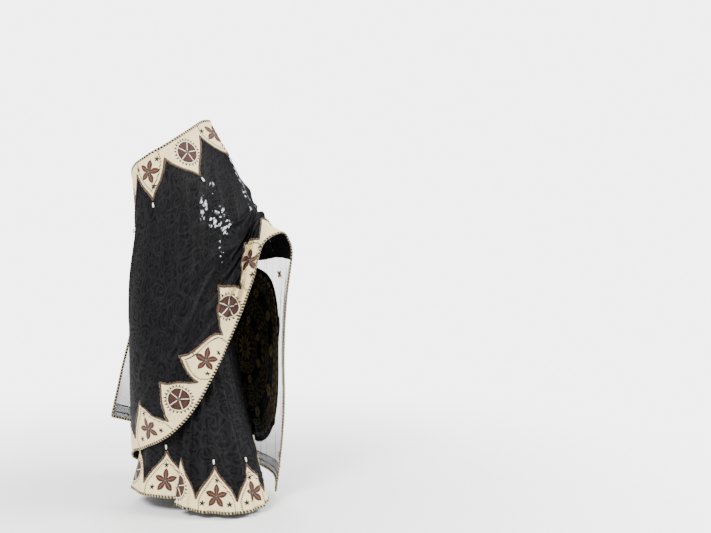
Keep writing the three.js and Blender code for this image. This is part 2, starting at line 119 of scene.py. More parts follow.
# The skirt under everything: height, centre x and y, half width, half depth, wave.
SKIRT_RINGS = (
    (66, 62, -8, 242, 206, 7),
    (200, 62, 0, 206, 178, 6),
    (400, 48, 10, 190, 148, 4),
    (640, 27, 20, 176, 126, 3),
    (900, 8, 25, 158, 112, 2),
    (1000, 4, 22, 142, 98, 1),
    (1085, 0, 20, 124, 88, 0),
)
SKIRT_WAVES = 11
SKIRT_ARCHES = 7
SKIRT_NOTCH = 565.0
FIGURE_HEIGHT = 62.0
LEAST_RISE = 0.05


@dataclass(frozen=True)
class Crease:
    """One soft ridge of the cloth, from one place to another on the strip."""

    start: tuple[float, float]
    end: tuple[float, float]
    depth: float
    width: float


# The large folds are the part's own; the creases after them are finer and only seen here.
LARGE_FOLDS = (
    Crease((1830, 0.34), (1440, 0.3), 12, 26),
    Crease((1800, 0.46), (1500, 0.5), 11, 26),
    Crease((1760, 0.2), (1300, 0.22), 9, 30),
    Crease((1240, 0.78), (1290, 0.45), 9, 34),
    Crease((1420, 0.8), (1390, 0.5), 11, 34),
    Crease((1080, 0.1), (1330, 0.34), 9, 34),
    Crease((1870, 0.4), (2160, 0.62), 10, 26),
    Crease((1980, 0.72), (2190, 0.45), 9, 34),
    Crease((2300, 0.95), (3100, 0.82), 16, 40),
    Crease((2330, 0.16), (3100, 0.12), 12, 34),
    Crease((2700, 0.98), (3140, 0.95), 12, 26),
    Crease((200, 0.02), (230, 0.5), 9, 40),
    Crease((590, 0.02), (580, 0.6), 9, 40),
    Crease((760, 0.1), (740, 0.7), 7, 36),
)
FINE_CREASES = (
    Crease((1862, 0.28), (1560, 0.16), 8.5, 11),
    Crease((1866, 0.36), (1500, 0.25), 12.5, 11),
    Crease((1850, 0.42), (1540, 0.38), 12.0, 12),
    Crease((1858, 0.5), (1600, 0.44), 10.5, 12),
    Crease((1840, 0.56), (1560, 0.6), 9.0, 14),
    Crease((1700, 0.72), (1660, 0.5), 6, 16),
    Crease((1560, 0.84), (1545, 0.6), 6, 18),
    Crease((1330, 0.86), (1350, 0.62), 6.8, 16),
    Crease((1180, 0.7), (1240, 0.4), 6, 18),
    Crease((1480, 0.44), (1200, 0.3), 6.8, 16),
    Crease((1400, 0.16), (1140, 0.08), 6, 15),
    Crease((1010, 0.3), (1190, 0.5), 6, 20),
    Crease((960, 0.12), (1120, 0.28), 6.8, 17),
    Crease((880, 0.5), (930, 0.85), 5.1, 20),
    Crease((1905, 0.34), (2140, 0.42), 12.5, 11),
    Crease((1908, 0.39), (2180, 0.48), 11.0, 9),
    Crease((1910, 0.44), (2200, 0.54), 12.0, 12),
    Crease((1925, 0.52), (2150, 0.74), 10.5, 14),
    Crease((1950, 0.6), (2060, 0.84), 8.5, 15),
    Crease((1920, 0.28), (2150, 0.31), 10.5, 12),
    Crease((2290, 0.06), (3080, 0.05), 10.2, 13),
    Crease((2310, 0.1), (2900, 0.18), 8.5, 14),
    Crease((2270, 0.22), (2620, 0.24), 7.6, 16),
    Crease((2280, 0.88), (3060, 0.74), 10.2, 15),
    Crease((2330, 0.9), (2960, 0.9), 11.9, 14),
    Crease((2420, 0.97), (3050, 0.89), 10.2, 12),
    Crease((2300, 0.78), (2640, 0.8), 6.8, 16),
    Crease((2900, 0.34), (3140, 0.3), 6.8, 16),
    Crease((2920, 0.55), (3140, 0.56), 6.8, 18),
    Crease((90, 0.04), (60, 0.6), 6.8, 20),
    Crease((330, 0.02), (320, 0.4), 7.6, 24),
    Crease((440, 0.04), (420, 0.7), 6.8, 22),
    Crease((660, 0.05), (640, 0.5), 6.8, 22),
)


def curve_weights(keys: Sequence[float], x: np.ndarray) -> np.ndarray:
    """Weights of a smooth curve through given keys.

    Args:
        keys: rising places of the known values.
        x: places to work out, in one row.

    Returns:
        One row of weights for each place, one column for each key.
    """
    k = np.asarray(keys, float)
    n = len(k)
    i = np.searchsorted(k[1:-1], x, side="left")
    h = k[i + 1] - k[i]
    q = (x - k[i]) / h
    q2 = q * q
    q3 = q2 * q
    weights = np.zeros((x.size, n))
    rows = np.arange(x.size)
    np.add.at(weights, (rows, i), 2 * q3 - 3 * q2 + 1)
    np.add.at(weights, (rows, i + 1), 3 * q2 - 2 * q3)
    for knot, pull in ((i, h * (q3 - 2 * q2 + q)), (i + 1, h * (q3 - q2))):
        low = np.maximum(knot - 1, 0)
        high = np.minimum(knot + 1, n - 1)
        span = k[high] - k[low]
        np.add.at(weights, (rows, high), pull / span)
        np.add.at(weights, (rows, low), -pull / span)
    return weights


def on_table(rows: np.ndarray, across: np.ndarray, points: np.ndarray) -> np.ndarray:
    """Points of a table of sections, from the weights along its rows and across them."""
    lines = np.tensordot(across, points, axes=(1, 1))
    return np.einsum("pr,prc->pc", rows, lines)


def unit(v: np.ndarray) -> np.ndarray:
    """The same directions with length one."""
    return v / np.maximum(np.linalg.norm(v, axis=-1, keepdims=True), 1e-12)


def distances_along(line: np.ndarray) -> np.ndarray:
    """Distance of each point of a line from its first one."""
    return np.concatenate([[0.0], np.cumsum(np.linalg.norm(np.diff(line, axis=0), axis=1))])


def smooth_step(x: np.ndarray) -> np.ndarray:
    """Zero at zero, one at one, smooth between."""
    k = np.clip(x, 0, 1)
    return k * k * (3 - 2 * k)


class Form:
    """A cloth's form: a point for each place along it and part across it."""

    step_s = 2.0
    step_t = 0.004
    in_millimetres = False

    def base(self, s: np.ndarray, t: np.ndarray) -> np.ndarray:
        """Points of the plain form, in millimetres above the floor."""
        raise NotImplementedError

    def height(self, s: np.ndarray, t: np.ndarray) -> np.ndarray:
        """How far the folds stand out of the plain form."""
        return np.zeros_like(s)

    def _tangents(self, surface: Callable, s: np.ndarray, t: np.ndarray) -> tuple[np.ndarray, np.ndarray]:
        """Directions along and across a surface.

        Args:
            surface: works out points for places and parts.
            s: places along the form.
            t: parts across it.

        Returns:
            The two directions at each place.
        """
        along = surface(s + self.step_s, t) - surface(s - self.step_s, t)
        up = surface(s, np.minimum(t + self.step_t, 1)) - surface(s, np.maximum(t - self.step_t, 0))
        return along, up

    def at(self, s: np.ndarray, t: np.ndarray) -> np.ndarray:
        """Points of the form with its folds."""
        along, up = self._tangents(self.base, s, t)
        return self.base(s, t) + unit(np.cross(along, up)) * self.height(s, t)[:, None]

    def normal(self, s: np.ndarray, t: np.ndarray) -> np.ndarray:
        """Outward directions of the form with its folds."""
        along, up = self._tangents(self.at, s, t)
        return unit(np.cross(along, up))


class StripForm(Form):
    """The one strip of cloth from the last pleat, round hips and front, to its sheer end."""

    in_millimetres = True
    faint = 0.35
    swell_start = 0.12
    swell_span = 0.76

    def __init__(self) -> None:
        """Keeps the table of sections as one block of numbers."""
        self.keys = [row[0] for row in STRIP_ROWS]
        self.points = np.array([row[1] for row in STRIP_ROWS], float)

    def base(self, s: np.ndarray, t: np.ndarray) -> np.ndarray:
        """Points of the strip without folds."""
        return on_table(curve_weights(self.keys, s), curve_weights(ACROSS, t), self.points)

    def height(self, s: np.ndarray, t: np.ndarray) -> np.ndarray:
        """Sum of the folds and creases at each place.

        Args:
            s: places along the strip.
            t: parts across it.

        Returns:
            How far the cloth stands out, in millimetres.
        """
        total = np.zeros_like(s)
        for crease in LARGE_FOLDS + FINE_CREASES:
            ax, ay = crease.start[0], crease.start[1] * STRIP_WIDTH
            dx, dy = crease.end[0] - ax, crease.end[1] * STRIP_WIDTH - ay
            k = np.clip(((s - ax) * dx + (t * STRIP_WIDTH - ay) * dy) / (dx * dx + dy * dy), 0, 1)
            off = np.hypot(s - ax - k * dx, t * STRIP_WIDTH - ay - k * dy)
            arc = np.sin(math.pi * (self.swell_start + self.swell_span * k))
            swell = self.faint + (1 - self.faint) * arc
            total += crease.depth * np.exp(-((off / crease.width) ** 2)) * swell
        return total


class PleatForm(Form):
    """The fan of knife pleats at the front: place is the part from right to left, part the height."""

    step_s = 0.002
    fold_at = 0.72
    side_ease = 8.0

    def __init__(self) -> None:
        """Keeps the table of levels as one block of numbers."""
        self.keys = [row[0] for row in PLEAT_ROWS]
        self.points = np.array([row[1] for row in PLEAT_ROWS], float)

    def base(self, s: np.ndarray, t: np.ndarray) -> np.ndarray:
        """Points of the fan without pleats."""
        return on_table(curve_weights(self.keys, t), curve_weights(PLEAT_ACROSS, s), self.points)

    def height(self, s: np.ndarray, t: np.ndarray) -> np.ndarray:
        """Each pleat rises slowly and turns under quickly, deepest at the hem.

        Args:
            s: parts from right to left.
            t: parts of the height.

        Returns:
            How far the cloth stands out, in millimetres.
        """
        x = s * PLEATS
        q = x - np.floor(x)
        wave = smooth_step(np.where(q < self.fold_at, q / self.fold_at, (1 - q) / (1 - self.fold_at)))
        fade = np.clip(self.side_ease * np.minimum(s, 1 - s), 0, 1)
        return wave * fade * (PLEAT_DEPTH + (PLEAT_DEPTH_TOP - PLEAT_DEPTH) * np.sqrt(np.clip(t, 0, 1)))


class SkirtForm(Form):
    """The closed skirt under everything: place is the part of a turn, part the height."""

    step_s = 0.001

    def base(self, s: np.ndarray, t: np.ndarray) -> np.ndarray:
        """Points of the ring at each height, with its soft waves at the back.

        Args:
            s: parts of a turn.
            t: parts of the height.

        Returns:
            Points in millimetres above the floor.
        """
        keys = [ring[0] for ring in SKIRT_RINGS]
        z = keys[0] + (keys[-1] - keys[0]) * t
        cx, cy, a, b, wave = (curve_weights(keys, z) @ np.array([ring[1:] for ring in SKIRT_RINGS], float)).T
        angle = s * 2 * math.pi
        front = 0.5 - 0.5 * np.sin(angle)
        grow = 1 + wave * (1 - smooth_step(front)) * np.cos(angle * SKIRT_WAVES) / a
        return np.stack([cx + a * grow * np.cos(angle), cy + b * grow * np.sin(angle), z], axis=-1)


@dataclass
class Stretch:
    """One stretch of a form, counted in the columns and rows of its solid."""

    form: Form
    start: float
    end: float
    columns: int
    rows: int
    closed: bool = False

    def place(self, u: np.ndarray) -> np.ndarray:
        """Places on the form for columns."""
        return self.start + (self.end - self.start) * u / self.columns

    def at(self, u: np.ndarray, v: np.ndarray) -> np.ndarray:
        """Points for columns and rows."""
        return self._shaped(self.form.at, u, v)

    def normal(self, u: np.ndarray, v: np.ndarray) -> np.ndarray:
        """Outward directions for columns and rows."""
        return self._shaped(self.form.normal, u, v)

    def _shaped(self, surface: Callable, u: np.ndarray, v: np.ndarray) -> np.ndarray:
        """Works a surface out for columns and rows of any shape.

        Args:
            surface: works out points for places and parts.
            u: columns.
            v: rows.

        Returns:
            Points in the shape of the columns and rows.
        """
        u, v = np.broadcast_arrays(np.asarray(u, float), np.asarray(v, float))
        flat = surface(self.place(u.ravel()), np.clip(v.ravel() / self.rows, 0, 1))
        return flat.reshape(u.shape + (3,))


def to_frame(points: np.ndarray) -> np.ndarray:
    """Turns millimetres above the floor into metres in the part's frame.

    Args:
        points: points of any number of rows.

    Returns:
        The same points in the part's frame.
    """
    moved = np.array(points, float)
    moved[..., 2] -= WAIST_HEIGHT
    return moved * MM


@dataclass
class SheetMesh:
    """A grid of points of a cloth, with what its pattern reads at each corner."""

    points: np.ndarray
    uv: np.ndarray
    corner: dict[str, np.ndarray] = field(default_factory=dict)
    closed: bool = False

    def shape(self, name: str) -> bmesh.types.BMesh:
        """Lays a plain bmesh grid on the points.

        Args:
            name: name of the piece.

        Returns:
            The laid mesh, in the part's frame.
        """
        columns, rows = self.points.shape[0] - 1, self.points.shape[1] - 1
        bm = bmesh.new()
        half = 0.5
        bmesh.ops.create_grid(bm, x_segments=columns, y_segments=rows, size=half)
        mesh = bpy.data.meshes.new(name)
        bm.to_mesh(mesh)
        bm.free()
        plain = np.zeros(len(mesh.vertices) * 3)
        mesh.vertices.foreach_get("co", plain)
        plain = plain.reshape(-1, 3)
        i = np.rint((plain[:, 0] + half) * columns).astype(int)
        j = np.rint((plain[:, 1] + half) * rows).astype(int)
        corner = np.zeros(len(mesh.loops), int)
        mesh.loops.foreach_get("vertex_index", corner)
        mesh.uv_layers.new(name=UV_MAP).uv.foreach_set("vector", self.uv[i, j][corner].ravel())
        first = i[corner].reshape(-1, 4).min(axis=1).repeat(4)
        for key, value in self.corner.items():
            layer = mesh.attributes.new(key, "FLOAT", "CORNER")
            layer.data.foreach_set("value", value[first, i[corner] - first, j[corner]].ravel())
        mesh.vertices.foreach_set("co", to_frame(self.points)[i, j].ravel())
        shaped = bmesh.new()
        shaped.from_mesh(mesh)
        bpy.data.meshes.remove(mesh)
        if self.closed:
            bmesh.ops.remove_doubles(shaped, verts=shaped.verts, dist=CLOSE)
        return shaped

    def build(self, name: str, wall: float) -> bpy.types.Object:
        """Makes the object of the grid, with a wall in millimetres."""
        return finished(name, self.shape(name), wall)


def finished(name: str, bm: bmesh.types.BMesh, wall: float = 0.0) -> bpy.types.Object:
    """Makes an object of a bmesh, smooth, at the origin.

    Args:
        name: name of the piece.
        bm: its mesh, in the part's frame.
        wall: thickness of its wall in millimetres, or nothing for a solid piece.

    Returns:
        The new object.
    """
    for face in bm.faces:
        face.smooth = True
    mesh = bpy.data.meshes.new(name)
    bm.to_mesh(mesh)
    bm.free()
    piece = bpy.data.objects.new(name, mesh)
    bpy.context.scene.collection.objects.link(piece)
    if wall:
        thick = piece.modifiers.new("wall", "SOLIDIFY")
        thick.thickness = wall * MM
        thick.offset = 0.0
        thick.use_even_offset = False
        thick.use_rim = True
    return piece


class Figure(Enum):
    """What an arch of the border shows."""

    WHEEL = 0.0
    FLOWER = 1.0


class Signal:
    """A number that a material works out. Arithmetic on it adds Math nodes."""

    def __init__(self, tree: bpy.types.NodeTree, source: bpy.types.NodeSocket | float) -> None:
        """Keeps the tree and the socket, or a plain number."""
        self.tree = tree
        self.source = source

    def math(self, operation: str, *others: "Signal | float") -> "Signal":
        """Adds one Math node with this number as its first input.

        Args:
            operation: Blender's name of what it does.
            others: its other inputs.

        Returns:
            The number that it puts out.
        """
        node = self.tree.nodes.new("ShaderNodeMath")
        node.operation = operation
        for slot, value in zip(node.inputs, (self, *others)):
            source = value.source if isinstance(value, Signal) else value
            if isinstance(source, (int, float)):
                slot.default_value = source
            else:
                self.tree.links.new(source, slot)
        return Signal(self.tree, node.outputs[0])

    def __add__(self, other: "Signal | float") -> "Signal":
        """Sum."""
        return self.math("ADD", other)

    def __sub__(self, other: "Signal | float") -> "Signal":
        """Difference."""
        return self.math("SUBTRACT", other)

    def __mul__(self, other: "Signal | float") -> "Signal":
        """Product."""
        return self.math("MULTIPLY", other)

    def __truediv__(self, other: "Signal | float") -> "Signal":
        """Quotient."""
        return self.math("DIVIDE", other)

    def __lt__(self, other: "Signal | float") -> "Signal":
        """One where this is less."""
        return self.math("LESS_THAN", other)

    def __gt__(self, other: "Signal | float") -> "Signal":
        """One where this is more."""
        return self.math("GREATER_THAN", other)

    def __and__(self, other: "Signal | float") -> "Signal":
        """One where both are."""
        return self.math("MULTIPLY", other)

    def __or__(self, other: "Signal | float") -> "Signal":
        """One where either is."""
        return self.math("MAXIMUM", other)

    def size(self) -> "Signal":
        """The number without its sign."""
        return self.math("ABSOLUTE")

    def flipped(self) -> "Signal":
        """One minus the number."""
        return Signal(self.tree, 1.0).math("SUBTRACT", self)

    def soft(self, low: float, high: float) -> "Signal":
        """Zero below low, one above high, smooth between.

        Args:
            low: where it starts to rise.
            high: where it reaches one.

        Returns:
            The new number.
        """
        node = self.tree.nodes.new("ShaderNodeMapRange")
        node.interpolation_type = "SMOOTHSTEP"
        self.tree.links.new(self.source, node.inputs["Value"])
        node.inputs["From Min"].default_value = low
        node.inputs["From Max"].default_value = high
        return Signal(self.tree, node.outputs["Result"])

    def repeat(self, step: "Signal | float") -> "Signal":
        """Distance from the nearest whole number of steps, with its sign."""
        turns = self / step
        return (turns - turns.math("ROUND")) * step


def hypot(x: Signal, y: Signal) -> Signal:
    """Length of a sloping line from its two sides."""
    return (x * x + y * y).math("SQRT")


class Paper:
    """A node tree being drawn on: short ways to the nodes that the finishes use."""

    def __init__(self, tree: bpy.types.NodeTree) -> None:
        """Keeps the tree."""
        self.tree = tree

    def node(self, kind: str, **inputs: object) -> bpy.types.Node:
        """Adds a node and sets or links its inputs by name, with underscores for blanks.

        Args:
            kind: Blender's name of the node.
            inputs: values, numbers or sockets.

        Returns:
            The node.
        """
        made = self.tree.nodes.new(kind)
        for key, value in inputs.items():
            self.feed(made.inputs[key.replace("_", " ")], value)
        return made

    def feed(self, slot: bpy.types.NodeSocket, value: object) -> None:
        """Sets a socket to a value, or links it.

        Args:
            slot: the socket.
            value: a plain value, a number or another socket.
        """
        source = value.source if isinstance(value, Signal) else value
        if isinstance(source, bpy.types.NodeSocket):
            self.tree.links.new(source, slot)
        else:
            slot.default_value = source

    def signal(self, socket: bpy.types.NodeSocket) -> Signal:
        """A socket as a number."""
        return Signal(self.tree, socket)

    def uv(self) -> tuple[Signal, Signal, bpy.types.NodeSocket]:
        """The piece's UV map.

        Returns:
            Its two numbers, and its vector.
        """
        source = self.tree.nodes.new("ShaderNodeUVMap")
        source.uv_map = UV_MAP
        split = self.node("ShaderNodeSeparateXYZ", Vector=source.outputs["UV"])
        return self.signal(split.outputs["X"]), self.signal(split.outputs["Y"]), source.outputs["UV"]

    def attribute(self, name: str) -> Signal:
        """A number that the mesh holds.

        Args:
            name: the attribute's name.

        Returns:
            The number.
        """
        source = self.tree.nodes.new("ShaderNodeAttribute")
        source.attribute_name = name
        return self.signal(source.outputs["Fac"])

    def noise(self, vector: bpy.types.NodeSocket, scale: float, detail: float = 3.0) -> bpy.types.Node:
        """A noise on a vector."""
        return self.node("ShaderNodeTexNoise", Vector=vector, Scale=scale, Detail=detail)

    def mixed(self, mask: Signal | float, under: object, over: object) -> bpy.types.NodeSocket:
        """A colour laid over another where the mask is one.

        Args:
            mask: how much of the upper colour shows.
            under: the lower colour.
            over: the upper colour.

        Returns:
            The mixed colour.
        """
        made = self.tree.nodes.new("ShaderNodeMix")
        made.data_type = "RGBA"
        for slot, value in ((MIX_FACTOR, mask), (MIX_UNDER, under), (MIX_OVER, over)):
            self.feed(made.inputs[slot], value)
        return made.outputs[MIX_RESULT]

    def vector_math(self, operation: str, *values: object) -> bpy.types.NodeSocket:
        """Adds one Vector Math node.

        Args:
            operation: Blender's name of what it does.
            values: its inputs in order, vectors or sockets.

        Returns:
            The vector that it puts out.
        """
        made = self.tree.nodes.new("ShaderNodeVectorMath")
        made.operation = operation
        for slot, value in zip(made.inputs, values):
            self.feed(slot, value)
        return made.outputs["Vector"]

    def group(self, tree: bpy.types.NodeTree, **inputs: object) -> bpy.types.Node:
        """Places a shared node group.

        Args:
            tree: the group.
            inputs: values, numbers or sockets by name.

        Returns:
            Its node.
        """
        made = self.tree.nodes.new("ShaderNodeGroup")
        made.node_tree = tree
        for key, value in inputs.items():
            self.feed(made.inputs[key.replace("_", " ")], value)
        return made


class SharedEffects:
    """The node groups that several finishes use."""

    def __init__(self) -> None:
        """Builds each group once."""
        self.petals = self._petals()
        self.weave = self._weave()
        self.mottle = self._mottle()

    @staticmethod
    def _start(
        name: str, inputs: dict[str, float | None], outputs: Sequence[str]
    ) -> tuple[Paper, dict[str, bpy.types.NodeSocket], dict[str, bpy.types.NodeSocket]]:
        """Makes an empty group.

        Args:
            name: the group's name.
            inputs: its inputs with their first values, None for a vector.
            outputs: names of its outputs, all numbers.

        Returns:
            The tree to draw on, its inputs and its outputs by name.
        """
        tree = bpy.data.node_groups.new(name, "ShaderNodeTree")
        for key, value in inputs.items():
            kind = "NodeSocketVector" if value is None else "NodeSocketFloat"
            made = tree.interface.new_socket(key, in_out="INPUT", socket_type=kind)
            if value is not None:
                made.default_value = value
        for key in outputs:
            tree.interface.new_socket(key, in_out="OUTPUT", socket_type="NodeSocketFloat")
        paper = Paper(tree)
        source = tree.nodes.new("NodeGroupInput")
        sink = tree.nodes.new("NodeGroupOutput")
        return paper, {key: source.outputs[key] for key in inputs}, {key: sink.inputs[key] for key in outputs}

    def _petals(self) -> bpy.types.NodeTree:
        """Pointed petals round a centre: masks of the petals, their outlines and their ribs.

        Returns:
            The group.
        """
        sizes = {"X": 0.0, "Y": 0.0, "Count": 5.0, "Root": 0.004, "Tip": 0.04, "Width": 0.008, "Line": 0.0015}
        paper, given, made = self._start("Petals", sizes, ("Petal", "Outline", "Rib"))
        x, y, count, root, tip, width, line = (paper.signal(given[key]) for key in sizes)
        turn = x.math("ARCTAN2", y)
        off = turn.repeat(Signal(paper.tree, 2 * math.pi) / count)
        far = hypot(x, y)
        along = far * off.math("COSINE")
        across = (far * off.math("SINE")).size()
        k = ((along - root) / (tip - root)).math("MAXIMUM", 0.0).math("MINIMUM", 1.0)
        half = (k * math.pi).math("SINE").math("MAXIMUM", 0.0).math("POWER", 0.75) * width
        inside = (along > root) & (along < tip)
        paper.feed(made["Petal"], (across < half) & inside)
        wide = (along > (root - line)) & (along < (tip + line))
        paper.feed(made["Outline"], (across < (half + line)) & wide)
        paper.feed(made["Rib"], (across < (width * 0.16)) & inside & (k < 0.8))
        return paper.tree

    def _weave(self) -> bpy.types.NodeTree:
        """Crossing threads on a vector in metres: a height from 0 to 1.

        Returns:
            The group.
        """
        paper, given, made = self._start("Weave", {"Place": None, "Thread": 0.0012}, ("Height",))
        split = paper.node("ShaderNodeSeparateXYZ", Vector=given["Place"])
        thread = paper.signal(given["Thread"])
        across, along = (
            (paper.signal(split.outputs[axis]) / thread * math.pi).math("SINE").size() for axis in ("X", "Y")
        )
        paper.feed(made["Height"], across | along)
        return paper.tree

    def _mottle(self) -> bpy.types.NodeTree:
        """Uneven tone of dyed or painted cloth: a number round one.

        Returns:
            The group.
        """
        paper, given, made = self._start("Mottle", {"Place": None, "Amount": 0.2, "Grain": 60.0}, ("Tone",))
        coarse = paper.node("ShaderNodeTexNoise", Vector=given["Place"], Scale=given["Grain"], Detail=5.0)
        value = paper.signal(coarse.outputs["Fac"])
        paper.feed(made["Tone"], (value - 0.5) * 2.0 * paper.signal(given["Amount"]) + 1.0)
        return paper.tree


Colour = tuple[float, float, float, float]
Ink = Colour | bpy.types.NodeSocket


@dataclass(frozen=True)
class Palette:
    """The colours of the saree, as the shaders take them, and the painted light of its thin lace."""

    lace: Colour = (0.0003, 0.0003, 0.0004, 1)
    lace_figure: Colour = (0.0062, 0.0062, 0.0074, 1)
    ivory: Colour = (0.80, 0.64, 0.335, 1)
    cream: Colour = (0.90, 0.78, 0.52, 1)
    brown: Colour = (0.042, 0.0110, 0.0055, 1)
    rib: Colour = (0.14, 0.06, 0.034, 1)
    ink: Colour = (0.0022, 0.0016, 0.0014, 1)
    slate: Colour = (0.085, 0.10, 0.10, 1)
    gold: Colour = (0.60, 0.45, 0.22, 1)
    tan: Colour = (0.12, 0.06, 0.024, 1)
    sheer: Colour = (0.005, 0.005, 0.009, 1)
    bead: Colour = (0.86, 0.80, 0.68, 1)
    # painted light: the pale colour laid in the thin lace's holes for light seen through them
    through: Colour = (0.80, 0.82, 0.90, 1)


PALETTE = Palette()


def shaded(colour: Ink, tone: bpy.types.NodeSocket | Signal, paper: Paper) -> bpy.types.NodeSocket:
    """A colour made lighter or darker by a tone round one.

    Args:
        colour: the colour, plain or worked out.
        tone: what it is multiplied by.
        paper: the tree to draw on.

    Returns:
        The new colour.
    """
    made = paper.tree.nodes.new("ShaderNodeVectorMath")
    made.operation = "SCALE"
    paper.feed(made.inputs[0], colour if isinstance(colour, bpy.types.NodeSocket) else colour[:3])
    paper.feed(made.inputs["Scale"], tone)
    return made.outputs["Vector"]


class Finish:
    """One material: its shader stands here, and what changes over the cloth is drawn before it."""

    name = "finish"
    roughness = 0.8
    sheen = 0.1
    sheen_roughness = 0.5
    gloss = 0.3

    def __init__(self, effects: SharedEffects) -> None:
        """Builds the material."""
        self.effects = effects
        self.material = bpy.data.materials.new(self.name)
        self.material.use_nodes = True
        self.paper = Paper(self.material.node_tree)
        self.shader = self.material.node_tree.nodes["Principled BSDF"]
        self.put("Roughness", self.roughness)
        self.put("Sheen Weight", self.sheen)
        self.put("Sheen Roughness", self.sheen_roughness)
        self.put("Specular IOR Level", self.gloss)
        self.colour: Ink = PALETTE.ink
        self.draw()

    def draw(self) -> None:
        """Draws the pattern and links it to the shader."""
        raise NotImplementedError

    def put(self, slot: str, value: object) -> None:
        """Sets or links a socket of the shader."""
        self.paper.feed(self.shader.inputs[slot], value)

    def lay(self, mask: Signal, over: Ink) -> None:
        """Lays a colour over the pattern where the mask is one."""
        self.colour = self.paper.mixed(mask, self.colour, over)

    def tone(self, place: bpy.types.NodeSocket, amount: float, grain: float) -> bpy.types.NodeSocket:
        """The uneven tone of dyed cloth."""
        return self.paper.group(self.effects.mottle, Place=place, Amount=amount, Grain=grain).outputs["Tone"]

    def grain(self, place: bpy.types.NodeSocket, scale: float, detail: float) -> Signal:
        """A noise from 0 to 1."""
        return self.paper.signal(self.paper.noise(place, scale, detail).outputs["Fac"])

    def threads(self, place: bpy.types.NodeSocket, size: float) -> Signal:
        """Height of crossing threads, from 0 to 1."""
        woven = self.paper.group(self.effects.weave, Place=place, Thread=size)
        return self.paper.signal(woven.outputs["Height"])

    def petals(self, x: Signal, y: Signal, **sizes: object) -> tuple[Signal, Signal, Signal]:
        """Masks of pointed petals round a centre.

        Args:
            x: distance aside from the centre.
            y: distance above it.
            sizes: the group's other inputs.

        Returns:
            The petals, the petals with their outline, and their ribs.
        """
        made = self.paper.group(self.effects.petals, X=x, Y=y, **sizes)
        petal, outline, rib = (self.paper.signal(made.outputs[key]) for key in ("Petal", "Outline", "Rib"))
        return petal, outline, rib

    def bump(self, height: Signal, strength: float, distance: float) -> None:
        """Raises the surface a little by a height from 0 to 1."""
        node = self.paper.node("ShaderNodeBump", Strength=strength, Distance=distance, Height=height)
        self.put("Normal", node.outputs["Normal"])


class LaceFinish(Finish):
    """Black lace with a tone-on-tone figure of scrolls, thin in a few patches where the light seen through is
    painted pale.
    """

    name = "black_figured_lace"
    roughness = 0.5
    sheen = 0.0
    gloss = 0.1
    swirl = 9.0
    swirl_reach = (0.09, 0.09, 0.0)
    centres = 15.0
    thread = 0.0016
    fine_grain = 900.0
    bump_strength = 0.7
    bump_distance = 0.0016
    thin_grain = 42.0
    thin_clear = 0.4
    # each patch is its place along the cloth, its part across it, and its reach along and across
    thin_patches: tuple[tuple[float, float, float, float], ...] = ()

    def draw(self) -> None:
        """Draws the figure in its dull and its glossy threads."""
        x, y, vector = self.paper.uv()
        figure = self._figure(vector)
        body = figure * (self.grain(vector, self.fine_grain, 2.0) * 0.7 + 0.55)
        self.colour = self.paper.mixed(body, PALETTE.lace, PALETTE.lace_figure)
        self.put("Roughness", body * -0.16 + 0.56)
        height = body * 0.9 + self.threads(vector, self.thread) * 0.1
        self.bump(height, self.bump_strength, self.bump_distance)
        if self.thin_patches:
            self._thin(x, y, vector, figure)
        self.put("Base Color", self.colour)

    def _figure(self, vector: bpy.types.NodeSocket) -> Signal:
        """Scrolls and leaves round scattered centres, with stems between them.

        Args:
            vector: the place on the cloth.

        Returns:
            The figure, from 0 to 1.
        """
        paper = self.paper
        swirl = paper.noise(vector, self.swirl, 2.0).outputs["Color"]
        bent = paper.vector_math("MULTIPLY_ADD", swirl, self.swirl_reach, vector)
        centre, edge = self._scattered(bent, "F1"), self._scattered(bent, "DISTANCE_TO_EDGE")
        off = paper.vector_math("SUBTRACT", bent, centre.outputs["Position"])
        split = paper.node("ShaderNodeSeparateXYZ", Vector=off)
        turn = paper.signal(split.outputs["X"]).math("ARCTAN2", paper.signal(split.outputs["Y"]))
        far = paper.signal(centre.outputs["Distance"])
        scroll = (far * 20.0 + turn * 2.0).math("SINE").soft(0.15, 0.6)
        leaf = (far * 7.0 + turn * 3.0).math("SINE").soft(0.35, 0.9)
        stem = paper.signal(edge.outputs["Distance"]).soft(0.02, 0.05).flipped()
        return (scroll * 0.8) | (leaf * 0.6) | stem

    def _scattered(self, place: bpy.types.NodeSocket, feature: str) -> bpy.types.Node:
        """Scattered centres on the cloth.

        Args:
            place: the place on the cloth.
            feature: what is measured, in Blender's words.

        Returns:
            The node.
        """
        made = self.paper.node("ShaderNodeTexVoronoi", Vector=place, Scale=self.centres, Randomness=1.0)
        made.voronoi_dimensions = "2D"
        made.feature = feature
        return made

    def _thin(self, x: Signal, y: Signal, vector: bpy.types.NodeSocket, figure: Signal) -> None:
        """Paints the ground between the figures pale, as painted light seen through the holes, and makes it
        partly clear where the lace lies single.

        Args:
            x: place along the cloth, in metres.
            y: place across it, in metres.
            vector: the two as a vector.
            figure: the lace's figure, from 0 to 1.
        """
        near: Signal | None = None
        for place, part, along, across in self.thin_patches:
            reach = hypot((x - place) / along, (y - part * STRIP_WIDTH * MM) / across)
            patch = reach.soft(0.75, 1.05).flipped()
            near = patch if near is None else near | patch
        holes = near & self.grain(vector, self.thin_grain, 1.0).soft(0.54, 0.56)
        # painted light: the holes away from the figure get a pale colour for light seen through them, and are
        # made partly clear
        painted_light_holes = holes & figure.flipped().soft(0.15, 0.5)
        self.put("Alpha", painted_light_holes * -self.thin_clear + 1.0)
        self.lay(painted_light_holes, PALETTE.through)


